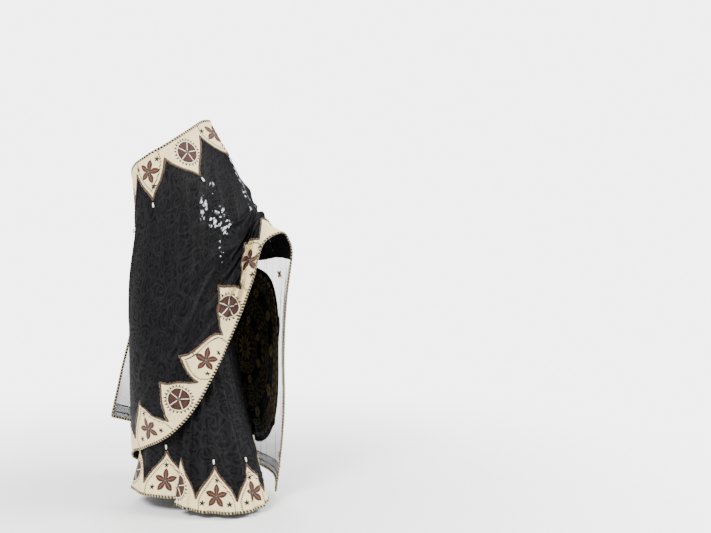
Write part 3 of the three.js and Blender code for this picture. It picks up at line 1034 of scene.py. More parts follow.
class ThinLaceFinish(LaceFinish):
    """The same lace where it lies single over the shoulder, arm and side, with painted light in its thin
    patches.
    """

    name = "black_figured_lace_thin"
    thin_patches = (
        (1.52, 0.78, 0.020, 0.030),
        (1.445, 0.72, 0.030, 0.060),
        (1.53, 0.65, 0.060, 0.055),
        (1.58, 0.60, 0.045, 0.050),
        (1.53, 0.51, 0.014, 0.070),
        (1.935, 0.82, 0.020, 0.070),
        (1.925, 0.74, 0.022, 0.060),
        (1.905, 0.62, 0.018, 0.080),
        (1.880, 0.80, 0.030, 0.090),
        (1.865, 0.68, 0.025, 0.060),
        (1.850, 0.56, 0.020, 0.050),
        (2.06, 0.50, 0.030, 0.030),
        (2.13, 0.38, 0.030, 0.050),
    )


class BorderFinish(Finish):
    """Ivory arches, a wheel and a star flower in turn, with a corded outline. Sizes are in metres."""

    name = "ivory_arch_applique"
    roughness = 0.72
    sheen = 0.15
    thread = 0.0011
    dots_inset, dots_half, dots_step, dot_half, dots_slant = 0.0150, 0.0034, 0.0140, 0.0042, 1.7
    stars = ((0.0, 0.119), (0.052, 0.032))
    star_tip, star_width, star_line = 0.0115, 0.0024, 0.0005
    flower_height, petal_root, petal_tip, petal_width, petal_line = 0.060, 0.004, 0.045, 0.0098, 0.0018
    eye, pip = 0.0062, 0.0040
    wheel_height, wheel_scale = 0.068, 0.89
    rays, ray_start, ray_end, ray_spread = 24, 0.0425, 0.0525, 0.42
    rings = ((0.0418, PALETTE.ink), (0.0402, PALETTE.cream), (0.0372, PALETTE.ink))
    disc, spokes, spoke_half, spoke_turn = 0.035, 5, 0.0011, 0.95
    hub, hub_pip = 0.0065, 0.0045
    fray, tan_line, dark_line = 0.006, 0.0026, 0.0004

    def draw(self) -> None:
        """Lays the ground, the two figures and the outline over each other."""
        paper = self.paper
        _, self.height, self.vector = paper.uv()
        self.x, self.level = paper.attribute("across"), paper.attribute("level")
        kind = paper.attribute("figure")
        self.flower, self.wheel = kind > 0.5, kind < 0.5
        self.shade = self.tone(self.vector, 0.16, 38.0)
        self.colour = shaded(PALETTE.ivory, self.shade, paper)
        self._dots()
        self._stars()
        self._flower()
        self._wheel()
        self._outline()
        self.put("Base Color", self.colour)
        self.bump(self.threads(self.vector, self.thread), 0.25, 0.0005)

    def _dots(self) -> None:
        """A dotted line that runs inside the outline of a flower arch."""
        band = (self.paper.attribute("inset") - self.dots_inset).size() < self.dots_half
        dash = (self.x + self.height * self.dots_slant).repeat(self.dots_step).size() < self.dot_half
        self.lay(band & dash & self.flower, PALETTE.ink)

    def _stars(self) -> None:
        """Three little stars round the flower."""
        sizes = {"Root": 0.0, "Tip": self.star_tip, "Width": self.star_width, "Line": self.star_line}
        for off, height in self.stars:
            aside = self.x.size() - off if off else self.x
            _, star, _ = self.petals(aside, self.level - height, **sizes)
            self.lay(star & self.flower, PALETTE.ink)

    def _flower(self) -> None:
        """Five brown petals with light ribs, outlined."""
        dy = self.level - self.flower_height
        petal, outline, rib = self.petals(
            self.x, dy, Root=self.petal_root, Tip=self.petal_tip, Width=self.petal_width, Line=self.petal_line
        )
        far = hypot(self.x, dy)
        brown = shaded(PALETTE.brown, self.shade, self.paper)
        layers = (
            (outline, PALETTE.ink), (petal, brown), (rib, PALETTE.rib),
            (far < self.eye, PALETTE.ink), (far < self.pip, PALETTE.slate),
        )
        for mask, colour in layers:
            self.lay(mask & self.flower, colour)

    def _wheel(self) -> None:
        """A brown disc with five cream spokes, a cream ring and a ring of small rays."""
        dy = self.level - self.wheel_height
        far = hypot(self.x, dy) * self.wheel_scale
        turn = self.x.math("ARCTAN2", dy)
        marble = self.grain(self.vector, 70.0, 4.0).soft(0.5, 0.7)
        brown = shaded(PALETTE.brown, self.shade, self.paper)
        disc = self.paper.mixed(marble, brown, PALETTE.ink)
        ray = (far * turn.repeat(2 * math.pi / self.rays).math("SINE")).size()
        rays = (ray < (far * -1.0 + self.ray_end) * self.ray_spread) & (far > self.ray_start)
        spoke = (far * turn.repeat(2 * math.pi / self.spokes).math("SINE")).size() < self.spoke_half
        spokes = spoke & (turn.size() < math.pi * self.spoke_turn) & (far < self.disc)
        layers = (
            (rays, PALETTE.ink), *((far < reach, colour) for reach, colour in self.rings),
            (far < self.disc, disc), (spokes, PALETTE.cream),
            (far < self.hub, PALETTE.ink), (far < self.hub_pip, PALETTE.slate),
        )
        for mask, colour in layers:
            self.lay(mask & self.wheel, colour)

    def _outline(self) -> None:
        """A tan thread and a dark frayed edge outside it."""
        rim = self.paper.attribute("rim")
        fray = self.grain(self.vector, 420.0, 2.0) * self.fray
        self.lay(rim < fray + self.tan_line, PALETTE.tan)
        self.lay(rim < fray + self.dark_line, PALETTE.ink)


class SheerFinish(Finish):
    """Sheer black cloth, denser where it lies in folds and towards its end."""

    name = "sheer_black_organza"
    roughness = 0.5
    sheen = 0.0
    gloss = 0.15
    streak_scale = (1.6, 26.0, 1.0)
    cover = 0.30
    most = 0.9

    def draw(self) -> None:
        """Makes the cloth mostly clear, with streaks along its folds."""
        x, y, vector = self.paper.uv()
        stretched = self.paper.node("ShaderNodeMapping", Vector=vector, Scale=self.streak_scale)
        streak = self.grain(stretched.outputs["Vector"], 1.0, 2.0).soft(0.50, 0.74)
        low = x.soft(2.85, 3.10) & y.soft(0.10, 0.22)
        far_edge = y.soft(0.78, 1.02)
        cover = streak * (far_edge * 0.4 + 0.12) + low * 0.16 + far_edge * 0.08 + self.cover
        self.put("Base Color", PALETTE.sheer)
        self.put("Alpha", cover.math("MINIMUM", self.most))


class EndBandFinish(Finish):
    """The brown-tinted band at the sheer end."""

    name = "tinted_end_band"
    roughness = 0.6
    tint: Colour = (0.05, 0.028, 0.02, 1)
    cover = 0.38

    def draw(self) -> None:
        """Tints the sheer cloth, clearer between the threads."""
        _, _, vector = self.paper.uv()
        tone = self.paper.signal(self.tone(vector, 0.5, 60.0))
        self.put("Base Color", shaded(self.tint, tone, self.paper))
        self.put("Alpha", tone * self.cover)


class OvalFinish(Finish):
    """The oval panel: rings of common border motifs in cream on black and brown.

    A ring is its middle, half its width and how often its motif repeats, as parts of the oval's reach.
    """

    name = "patterned_oval_panel"
    roughness = 0.78
    gloss = 0.12
    cream = PALETTE.cream
    brown: Colour = (0.026, 0.0075, 0.004, 1)
    chevron_rings = ((0.835, 0.028, 62), (0.545, 0.026, 42), (0.475, 0.026, 36), (0.228, 0.02, 20))
    diamond_rings = ((0.772, 0.028, 56), (0.41, 0.03, 30), (0.182, 0.02, 16))
    blossom_rings = ((0.658, 0.078, 10), (0.312, 0.056, 7))
    plain_rings = (0.872, 0.802, 0.742, 0.576, 0.51, 0.445, 0.375, 0.252, 0.205, 0.158)
    plain_half = 0.0035
    scallops, scallop_ring, scallop_reach = 46, 0.892, 0.056
    spot_ring, spot_reach = 0.915, 0.011
    stars = ((0.145, 0.018, 12.0), (0.075, 0.012, 6.0))
    star_root, star_line = 0.03, 0.004
    middle = 0.02
    blossom_petals, blossom_share, blossom_line = 8.0, 0.92, 0.002

    def draw(self) -> None:
        """Draws ring after ring, from the scalloped rim to the star in the middle."""
        self.x, self.y, vector = self.paper.uv()
        tone = self.tone(vector, 0.3, 34.0)
        self.light, self.dark = (shaded(colour, tone, self.paper) for colour in (self.cream, self.brown))
        self.far = hypot(self.x, self.y)
        self.turn = self.x.math("ARCTAN2", self.y)
        self._scallops()
        for lay_ring, rings in (
            (self._chevrons, self.chevron_rings),
            (self._diamonds, self.diamond_rings),
            (self._blossoms, self.blossom_rings),
        ):
            for ring in rings:
                lay_ring(*ring)
        self._star()
        for ring in self.plain_rings:
            self.lay((self.far - ring).size() < self.plain_half, self.light)
        self.put("Base Color", self.colour)
        self.bump(self.grain(vector, 60.0, 3.0), 0.2, 0.0008)

    def _scallops(self) -> None:
        """Cream scallops that stand on the rim's ring, each with a dark spot."""
        across = self.turn.repeat(2 * math.pi / self.scallops).size() * 0.93
        reach = hypot(across, self.far - self.scallop_ring)
        self.lay((reach < self.scallop_reach) & (self.far > self.scallop_ring), self.light)
        self.lay(hypot(across, self.far - self.spot_ring) < self.spot_reach, PALETTE.ink)

    def _chevrons(self, ring: float, half: float, count: int) -> None:
        """A double zigzag in a ring.

        Args:
            ring: the ring's middle.
            half: half its width.
            count: how many zigzags run round it.
        """
        slope = self.turn.repeat(2 * math.pi / count).size() * (count / math.pi * half * 1.3)
        line = (self.far - (ring - half * 0.75)) - slope
        inside = (self.far - ring).size() < half
        for lift in (0.0, half * 0.55):
            self.lay(((line - lift).size() < half * 0.15) & inside, self.light)

    def _diamonds(self, ring: float, half: float, count: int) -> None:
        """Open diamonds with a solid middle, side by side in a ring.

        Args:
            ring: the ring's middle.
            half: half its width.
            count: how many diamonds run round it.
        """
        across = self.turn.repeat(2 * math.pi / count).size() * (count / math.pi)
        off = (self.far - ring).size()
        reach, inside = across + off / half, off < half
        self.lay((reach < 1.0) & (reach > 0.66) & inside, self.light)
        self.lay((reach < 0.36) & inside, self.light)

    def _blossoms(self, ring: float, half: float, count: int) -> None:
        """Cream blossoms on a brown ring.

        Args:
            ring: the ring's middle.
            half: half its width.
            count: how many blossoms run round it.
        """
        self.lay((self.far - ring).size() < half, self.dark)
        across = self.turn.repeat(2 * math.pi / count) * ring
        tip = half * self.blossom_share
        sizes = {"Count": self.blossom_petals, "Root": tip * 0.16, "Tip": tip, "Width": tip * 0.28}
        blossom, _, _ = self.petals(across, self.far - ring, Line=self.blossom_line, **sizes)
        self.lay(blossom, self.light)

    def _star(self) -> None:
        """A twelve-petalled star in the middle."""
        for tip, width, count in self.stars:
            sizes = {"Count": count, "Root": self.star_root, "Tip": tip, "Width": width}
            petal, outline, _ = self.petals(self.x, self.y, Line=self.star_line, **sizes)
            self.lay(outline, PALETTE.ink)
            self.lay(petal, self.light)
        self.lay(self.far < self.middle, self.light)


class OvalReverseFinish(OvalFinish):
    """The back of the oval panel: the same rings, dull gold on black."""

    name = "oval_panel_reverse"
    cream: Colour = (0.22, 0.165, 0.045, 1)
    brown: Colour = (0.006, 0.004, 0.003, 1)


class BraidFinish(Finish):
    """Black braid with a gold thread that shows in dashes."""

    name = "black_gold_braid"
    roughness = 0.5
    dash = 0.0125
    dash_half = 0.17
    slant = 0.006

    def draw(self) -> None:
        """Gold dashes that wind round the braid."""
        x, y, _ = self.paper.uv()
        gold = (x + y * self.slant).repeat(self.dash).size() < (self.dash * self.dash_half)
        self.put("Base Color", self.paper.mixed(gold, PALETTE.ink, PALETTE.gold))
        self.put("Roughness", gold * -0.2 + 0.6)
        self.put("Metallic", gold * 0.3)


class CordFinish(Finish):
    """The dark fuzzy cord round the arches."""

    name = "dark_fuzzy_cord"
    roughness = 0.9
    sheen = 0.4

    def draw(self) -> None:
        """Nearly black, with tan threads."""
        fray = self.grain(self.paper.uv()[2], 300.0, 2.0).soft(0.42, 0.6)
        self.put("Base Color", self.paper.mixed(fray, PALETTE.ink, PALETTE.tan))


class PetalFinish(Finish):
    """Cream cloth of the small flowers on the sheer end piece."""

    name = "cream_flower_cloth"
    roughness = 0.7
    base: Colour = PALETTE.cream
    amount = 0.2
    grain_scale = 120.0

    def draw(self) -> None:
        """One colour, a little uneven."""
        place = self.paper.node("ShaderNodeTexCoord").outputs["Object"]
        self.put("Base Color", shaded(self.base, self.tone(place, self.amount, self.grain_scale), self.paper))


class BeadFinish(PetalFinish):
    """Cream drop beads."""

    name = "cream_drop_bead"
    roughness = 0.28
    sheen = 0.0
    base = PALETTE.bead
    amount = 0.15
    grain_scale = 200.0


@dataclass
class Wardrobe:
    """All finishes of the saree."""

    effects: SharedEffects = field(default_factory=SharedEffects)

    def __post_init__(self) -> None:
        """Makes each material once."""
        self.lace = LaceFinish(self.effects).material
        self.thin_lace = ThinLaceFinish(self.effects).material
        self.border = BorderFinish(self.effects).material
        self.sheer = SheerFinish(self.effects).material
        self.end_band = EndBandFinish(self.effects).material
        self.oval = OvalFinish(self.effects).material
        self.oval_reverse = OvalReverseFinish(self.effects).material
        self.braid = BraidFinish(self.effects).material
        self.cord = CordFinish(self.effects).material
        self.bead = BeadFinish(self.effects).material
        self.petal = PetalFinish(self.effects).material


def dress(piece: bpy.types.Object, material: bpy.types.Material) -> bpy.types.Object:
    """Gives a piece its material and its body.

    Args:
        piece: the new piece, in place.
        material: its finish.

    Returns:
        The piece.
    """
    piece.data.materials.append(material)
    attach(piece, "root")
    area = sum(face.area for face in piece.data.polygons)
    log.info("%s: %d faces, %.3f square metres", piece.name, len(piece.data.polygons), area)
    return piece


@dataclass
class Panel:
    """One stretch of cloth that shows, which stands for its solid."""

    name: str
    node: str
    stretch: Stretch
    columns: int
    rows: int
    slot: str
    flat: tuple[float, float]
    held: str
    rests_on: tuple[str, ...]

    def build(self, material: bpy.types.Material) -> None:
        """Args:
            material: its finish.
        """
        u = np.linspace(0, self.stretch.columns, self.columns + 1)
        v = np.linspace(0, self.stretch.rows, self.rows + 1)
        grid_u, grid_v = np.meshgrid(u, v, indexing="ij")
        place = self.stretch.place(grid_u)
        scale = MM if self.stretch.form.in_millimetres else self.flat[1]
        uv = np.stack([place * scale, grid_v / self.stretch.rows * STRIP_WIDTH * MM], axis=-1)
        sheet = SheetMesh(self.stretch.at(grid_u, grid_v), uv, closed=self.stretch.closed)
        piece = dress(sheet.build(self.name, CLOTH_WALL), material)
        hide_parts(self.node)


def arch_height(notches: Sequence[float], distance: np.ndarray) -> np.ndarray:
    """Height of the border above the edge at each distance along it.

    Args:
        notches: distances of the places between arches.
        distance: distances along the edge.

    Returns:
        Heights in millimetres.
    """
    marks = np.asarray(notches, float)
    k = np.clip(np.searchsorted(marks, distance, side="left") - 1, 0, len(marks) - 2)
    p = np.clip((distance - marks[k]) / (marks[k + 1] - marks[k]), 0, 1)
    x = 1 - np.abs(2 * p - 1)
    rise = ARCH_ROUND * np.sin(math.pi * x / 2) ** ARCH_SHOULDER + (1 - ARCH_ROUND) * x**ARCH_TIP
    return NOTCH_HEIGHT + (ARCH_HEIGHT - NOTCH_HEIGHT) * rise


@dataclass
class Border:
    """The arched applique along one edge of a stretch, with its cord and its drop beads."""

    name: str
    node: str
    stretch: Stretch
    notches: Sequence[float]
    figures: Sequence[Figure]
    flat: tuple[float, float]
    rests_on: tuple[str, ...]
    upper: bool = False
    start: float = 0.0
    square: float = 0.0
    ease: float = 3.0
    beads: bool = True
    spacing: float = 4.5
    rows: int = 14
    reach: float = 1.5
    last_ease: float = 3.0
    least: float = 0.12
    cord_lift: float = 0.3
    cord_radius: float = 3.1
    bead_gap: float = 3.0
    bead_drop: float = 12.0
    bead_lift: float = 5.0

    def __post_init__(self) -> None:
        """Walks the edge once, so that its columns can be found by distance."""
        steps = self.stretch.columns * EDGE_STEPS
        u = np.linspace(0, self.stretch.columns, steps + 1)
        edge = self.point(u, np.zeros_like(u))
        self.u_fine, self.distance = u, self.start + distances_along(edge)
        self.end = float(self.distance[-1])

    def row(self, v: np.ndarray) -> np.ndarray:
        """Rows of the stretch for rows counted from the border's own edge."""
        return self.stretch.rows - v if self.upper else v

    def point(self, u: np.ndarray, v: np.ndarray) -> np.ndarray:
        """Points for columns, and rows counted from the border's edge."""
        return self.stretch.at(u, self.row(v))

    def drift(self, u: np.ndarray) -> np.ndarray:
        """How far a line square to a slanting edge drifts along the cloth, in columns for each row.

        Args:
            u: columns.

        Returns:
            The drift at each column.
        """
        if not self.square:
            return np.zeros_like(u)
        last = self.stretch.columns
        low, high = np.maximum(u - self.reach, 0), np.minimum(u + self.reach, last)
        zero = np.zeros_like(u)
        edge = (self.point(high, zero) - self.point(low, zero)) / (high - low)[:, None]
        up = (self.point(u, zero + self.reach) - self.point(u, zero)) / self.reach
        ends = smooth_step(u / self.ease) * smooth_step((last - u) / self.last_ease)
        return -self.square * ends * (up * edge).sum(-1) / (edge * edge).sum(-1)

    def columns_at(self, u: np.ndarray, v: np.ndarray) -> np.ndarray:
        """Columns moved aside row by row, so that an arch stands square to a slanting edge.

        Args:
            u: columns at the edge.
            v: rows above each of them.

        Returns:
            The moved columns, in the shape of the rows.
        """
        last = self.stretch.columns
        start = u[:, None]
        moved = start + self.drift(u)[:, None] * v
        return np.clip(moved, self.least * start, last - self.least * (last - start))

    def rows_at(self, u: np.ndarray, heights: np.ndarray) -> np.ndarray:
        """Rows of the cloth at given heights above the edge, one column for each u.

        Args:
            u: columns at the edge.
            heights: heights above each of them, in millimetres.

        Returns:
            The rows, in the shape of the heights.
        """
        steps = np.linspace(0, self.stretch.rows, HEIGHT_STEPS + 1)
        grid_v = np.repeat(steps[None, :], len(u), axis=0)
        path = self.point(self.columns_at(u, grid_v), grid_v)
        walked = np.cumsum(np.linalg.norm(np.diff(path, axis=1), axis=2), axis=1)
        walked = np.concatenate([np.zeros((len(u), 1)), walked], axis=1)
        return np.array([np.interp(h, w, steps) for h, w in zip(heights, walked)])

    @property
    def tips(self) -> list[float]:
        """Distances of all the arches' tips, also of those past its ends."""
        return [(low + high) / 2 for low, high in zip(self.notches, self.notches[1:])]

    def build(self, wardrobe: Wardrobe) -> None:
        """Makes the applique, its cord and its beads.

        Args:
            wardrobe: the finishes.
        """
        marks = [n for n in self.notches if self.start < n < self.end]
        tips = [tip for tip in self.tips if self.start < tip < self.end]
        even = np.linspace(self.start, self.end, max(8, int((self.end - self.start) / self.spacing)) + 1)
        distance = np.unique(np.concatenate([even, marks, tips]).round(3))
        u = np.interp(distance, self.distance, self.u_fine)
        tops = arch_height(self.notches, distance)
        share = np.linspace(0, 1, self.rows + 1) ** 0.9
        heights = tops[:, None] * share[None, :]
        v = self.rows_at(u, heights)
        columns = self.columns_at(u, v)
        points = self.point(columns, v)
        normals = self.stretch.normal(columns, self.row(v))
        lifted = points + normals * APPLIQUE_LIFT
        sheet = self._sheet(distance, heights, lifted)
        piece = dress(sheet.build(self.name, APPLIQUE_WALL), wardrobe.border)
        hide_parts(self.node)
        made = [piece, self._cord(wardrobe, distance, points[:, -1], normals[:, -1])]
        if self.beads:
            made.append(self._beads(wardrobe))

    def _sheet(self, distance: np.ndarray, heights: np.ndarray, points: np.ndarray) -> SheetMesh:
        """Works out what the pattern reads: place in the arch, its figure, and how near the rim is.

        Args:
            distance: distances along the edge.
            heights: heights above the edge at each distance.
            points: the points of the applique.

        Returns:
            The grid with its corner values.
        """
        marks = np.asarray(self.notches, float)
        middle = (distance[1:] + distance[:-1]) / 2
        arch = np.clip(np.searchsorted(marks, middle) - 1, 0, len(marks) - 2)
        arch = np.append(arch, arch[-1])
        trace = np.arange(distance[0] - OUTLINE_PAST, distance[-1] + OUTLINE_PAST, OUTLINE_STEP)
        outline = np.stack([trace, arch_height(self.notches, trace)], axis=-1)
        spots = np.stack([np.broadcast_to(distance[:, None], heights.shape), heights], axis=-1)
        rim = np.min(np.linalg.norm(spots[:, :, None, :] - outline[None, None], axis=-1), axis=2)
        here = np.arange(len(distance))
        pair = np.stack([here, np.minimum(here + 1, len(distance) - 1)], axis=1)
        low, high = marks[arch][:, None, None], marks[arch + 1][:, None, None]
        along = distance[pair][:, :, None] + 0 * heights[pair]
        side = np.minimum(along - low, high - along)
        figure = np.array([self.figures[a % len(self.figures)].value for a in arch])
        slants = np.array([self._slant(middle) for middle in (marks[1:] + marks[:-1]) / 2])[arch]
        stretch, shear, rise = (slants[:, k][:, None, None] for k in range(3))
        lift = heights[pair] - FIGURE_HEIGHT
        corner = {
            "figure": figure[:, None, None] + 0 * along,
            "rim": rim[pair] * MM,
            "inset": np.minimum(rim[pair], side) * MM,
            "across": (stretch * (along - (low + high) / 2) + shear * lift) * MM,
            "level": (FIGURE_HEIGHT + rise * lift) * MM,
        }
        uv = np.stack([np.broadcast_to(distance[:, None], heights.shape) * MM, heights * MM], axis=-1)
        if self.upper:
            points, uv = points[:, ::-1], uv[:, ::-1]
            corner = {key: value[:, :, ::-1] for key, value in corner.items()}
        return SheetMesh(points, uv, corner, self.stretch.closed)

    def _spot(self, distance: float, height: float) -> np.ndarray:
        """A point of the border at a distance along its edge and a height above it.

        Args:
            distance: millimetres along the edge.
            height: millimetres above it.

        Returns:
            The point.
        """
        u = np.interp([distance], self.distance, self.u_fine)
        v = self.rows_at(u, np.array([[height]]))
        return self.point(self.columns_at(u, v), v)[0, 0]

    def _slant(self, middle: float, reach: float = 28.0) -> tuple[float, float, float]:
        """How a figure lies at the middle of an arch.

        Args:
            middle: millimetres along the edge.
            reach: how far from the middle the cloth is measured.

        Returns:
            The cloth's stretch along the edge, its slant, and its stretch up from the edge.
        """
        if not self.start + reach < middle < self.end - reach:
            return 1.0, 0.0, 1.0
        right, left = (self._spot(middle + off, FIGURE_HEIGHT) for off in (reach, -reach))
        top, bottom = (self._spot(middle, FIGURE_HEIGHT + off) for off in (reach, -reach))
        side, up = (right - left) / (2 * reach), (top - bottom) / (2 * reach)
        stretch = float(np.linalg.norm(side))
        shear = float(up @ side) / stretch
        return stretch, shear, math.sqrt(max(float(up @ up) - shear**2, LEAST_RISE))

    def _cord(
        self, wardrobe: Wardrobe, distance: np.ndarray, rim: np.ndarray, normals: np.ndarray
    ) -> bpy.types.Object:
        """The dark cord that runs along the outline."""
        name, centre = self.name + "_cord", rim + normals * (APPLIQUE_LIFT + self.cord_lift)
        return tube(name, centre, normals, distance, self.cord_radius, wardrobe.cord, uneven=0.4)

    def _beads(self, wardrobe: Wardrobe) -> bpy.types.Object:
        """A drop bead at the tip of each arch that isn't cut by an end.

        Args:
            wardrobe: the finishes.

        Returns:
            The beads, as one piece.
        """
        bm = bmesh.new()
        top = ARCH_HEIGHT + self.bead_gap
        for tip in self.tips:
            if not self.start + BEAD_ROOM < tip < self.end - BEAD_ROOM:
                continue
            u = np.interp([tip], self.distance, self.u_fine)
            v = self.rows_at(u, np.array([[top, top + self.bead_drop]]))
            columns = self.columns_at(u, v)
            spots = self.point(columns, v)[0]
            normal = self.stretch.normal(columns, self.row(v))[0, 1]
            middle = to_frame(spots[1] + normal * self.bead_lift)
            add_drop(bm, middle, to_frame(spots[1]) - to_frame(spots[0]))
        return dress(finished(self.name + "_drops", bm), wardrobe.bead)


def add_drop(bm: bmesh.types.BMesh, centre: np.ndarray, direction: np.ndarray) -> None:
    """Adds one drop bead, its narrow end at the arch.

    Args:
        bm: mesh to add to.
        centre: its middle, in the part's frame.
        direction: from the arch's tip outwards.
    """
    made = bmesh.ops.create_uvsphere(bm, u_segments=12, v_segments=10, radius=1.0)["verts"]
    for vert in made:
        taper = 0.62 - 0.38 * vert.co.z if vert.co.z < 0 else 0.62 + 0.3 * vert.co.z
        narrow = DROP_RADIUS * (0.55 + 0.45 * (vert.co.z + 1) / 2) * (taper + 0.2)
        vert.co = Vector((vert.co.x * narrow, vert.co.y * narrow, vert.co.z * DROP_HALF_LENGTH))
    turn = Vector((0, 0, 1)).rotation_difference(Vector(direction)).to_matrix().to_4x4()
    bmesh.ops.transform(bm, matrix=Matrix.Translation(Vector(centre)) @ turn, verts=made)


def tube(
    name: str,
    centre: np.ndarray,
    normals: np.ndarray,
    distance: np.ndarray,
    radius: float,
    material: bpy.types.Material,
    uneven: float = 0.0,
    plait: float = 0.0,
) -> bpy.types.Object:
    """Makes a braid or cord along a line on the cloth.

    Args:
        name: name of the piece.
        centre: points of the line, millimetres above the floor.
        normals: the cloth's outward directions there.
        distance: millimetres along the line at each point.
        radius: half the braid's width.
        material: its finish.
        uneven: how much its width wanders, as a part of it.
        plait: length of one bulge of a plaited braid, or nothing.

    Returns:
        The piece.
    """
    step = plait / 4 if plait else TUBE_STEP
    places = np.linspace(distance[0], distance[-1], max(8, int((distance[-1] - distance[0]) / step)) + 1)
    line = np.stack([np.interp(places, distance, centre[:, c]) for c in range(3)], axis=-1)
    out = unit(np.stack([np.interp(places, distance, normals[:, c]) for c in range(3)], axis=-1))
    tangent = unit(np.gradient(line, axis=0))
    side = unit(np.cross(tangent, out))
    swell = np.ones(len(places))
    if plait:
        swell = 0.8 + 0.3 * np.abs(np.sin(math.pi * places / plait))
    if uneven:
        wander = np.random.default_rng(len(places)).normal(0, uneven, len(places))
        swell = swell * np.clip(1 + wander, 0.5, 1.7)
    angle = np.linspace(0, 2 * math.pi, TUBE_SIDES + 1)
    wide, thick = np.cos(angle)[None, :, None], np.sin(angle)[None, :, None]
    ring = wide * side[:, None] + thick * out[:, None] * TUBE_FLATNESS
    points = line[:, None] + ring * (radius * swell)[:, None, None]
    uv = np.stack(np.meshgrid(places * MM, angle / (2 * math.pi), indexing="ij"), axis=-1)
    bm = SheetMesh(points, uv, closed=True).shape(name)
    bmesh.ops.holes_fill(bm, edges=[edge for edge in bm.edges if edge.is_boundary], sides=0)
    bmesh.ops.recalc_face_normals(bm, faces=bm.faces)
    return dress(finished(name, bm), material)


@dataclass
class Braid:
    """A braid along a line of a stretch, at a place across it or along it."""

    name: str
    stretch: Stretch
    slot: str
    row: float | None = None
    column: float | None = None
    radius: float = 5.4
    plait: float = 11.0
    lift: float = 1.2
    points: int = 160

    def build(self, material: bpy.types.Material) -> None:
        """Follows the cloth and makes the braid.

        Args:
            material: its finish.
        """
        if self.row is not None:
            u = np.linspace(0, self.stretch.columns, self.points)
            v = np.full_like(u, self.row)
        else:
            v = np.linspace(0, self.stretch.rows, self.points)
            u = np.full_like(v, self.column)
        line, normals = self.stretch.at(u, v), self.stretch.normal(u, v)
        centre, places = line + normals * self.lift, distances_along(line)
        tube(self.name, centre, normals, places, self.radius, material, plait=self.plait)


def edge_braid(border: Border, points: int) -> Braid:
    """The braid on the edge that a border stands on."""
    row = float(border.stretch.rows) if border.upper else 0.0
    return Braid(border.name + "_braid", border.stretch, "ivory", row=row, lift=0.6, points=points)


@dataclass
class Skirt:
    """The wrapped skirt: the turn under everything, the front pleats and the hip wrap."""

    strip: StripForm
    under: Stretch = field(default_factory=lambda: Stretch(SkirtForm(), 0.0, 1.0, 36, 6, closed=True))
    pleats: Stretch = field(default_factory=lambda: Stretch(PleatForm(), 0.0, 1.0, 36, 9))
    pleat_notches: tuple[float, ...] = (-100, 103, 286, 480, 685)
    hip_notches: tuple[float, ...] = (12, 222, 410, 560, 740, 940, 1140)

    def build(self, wardrobe: Wardrobe) -> None:
        """Builds the three stretches and their hem borders.

        Args:
            wardrobe: the finishes.
        """
        hip = Stretch(self.strip, SEAM_START, SEAM_SIDE - SEAM_GAP / 2, 20, 10)
        panels = (
            Panel("under_wrap_lace", "under_wrap", self.under, 200, 84, "lace", (1.02, 1.2), "draped", ()),
            Panel(
                "front_pleats_lace", "front_pleats", self.pleats, 190, 96,
                "lace", (1.06, 0.36), "gathered", ("under_wrap_lace",),
            ),
            Panel(
                "hip_wrap_lace", "hip_wrap", hip, 100, 116,
                "lace", (1.08, 0.66), "draped", ("under_wrap_lace",),
            ),
        )
        for panel in panels:
            panel.build(wardrobe.lace)
        self._borders(wardrobe, hip)

    def _borders(self, wardrobe: Wardrobe, hip: Stretch) -> None:
        """Sews the arches and the braid along the three hems.

        Args:
            wardrobe: the finishes.
            hip: the hip wrap.
        """
        probe = Border("probe", "", self.under, (0, 1), (Figure.WHEEL,), (1, 1), ())
        edge = probe.end
        first = SKIRT_NOTCH % (edge / SKIRT_ARCHES)
        even = [first + (k - 1) * edge / SKIRT_ARCHES for k in range(SKIRT_ARCHES + 2)]
        wheel, flower = Figure.WHEEL, Figure.FLOWER
        borders = (
            Border(
                "under_hem_arches", "under_hem_border", self.under, even,
                (flower, wheel), (1.43, 0.13), ("under_wrap_lace",),
            ),
            Border(
                "pleat_hem_arches", "pleat_hem_border", self.pleats, self.pleat_notches,
                (wheel, flower, flower, wheel), (0.53, 0.13), ("front_pleats_lace",),
            ),
            Border(
                "hip_hem_arches", "hip_hem_border", hip, self.hip_notches,
                (flower, wheel, flower, wheel), (0.8, 0.13), ("hip_wrap_lace",),
            ),
        )
        for border in borders:
            border.build(wardrobe)
            edge_braid(border, points=260).build(wardrobe.braid)


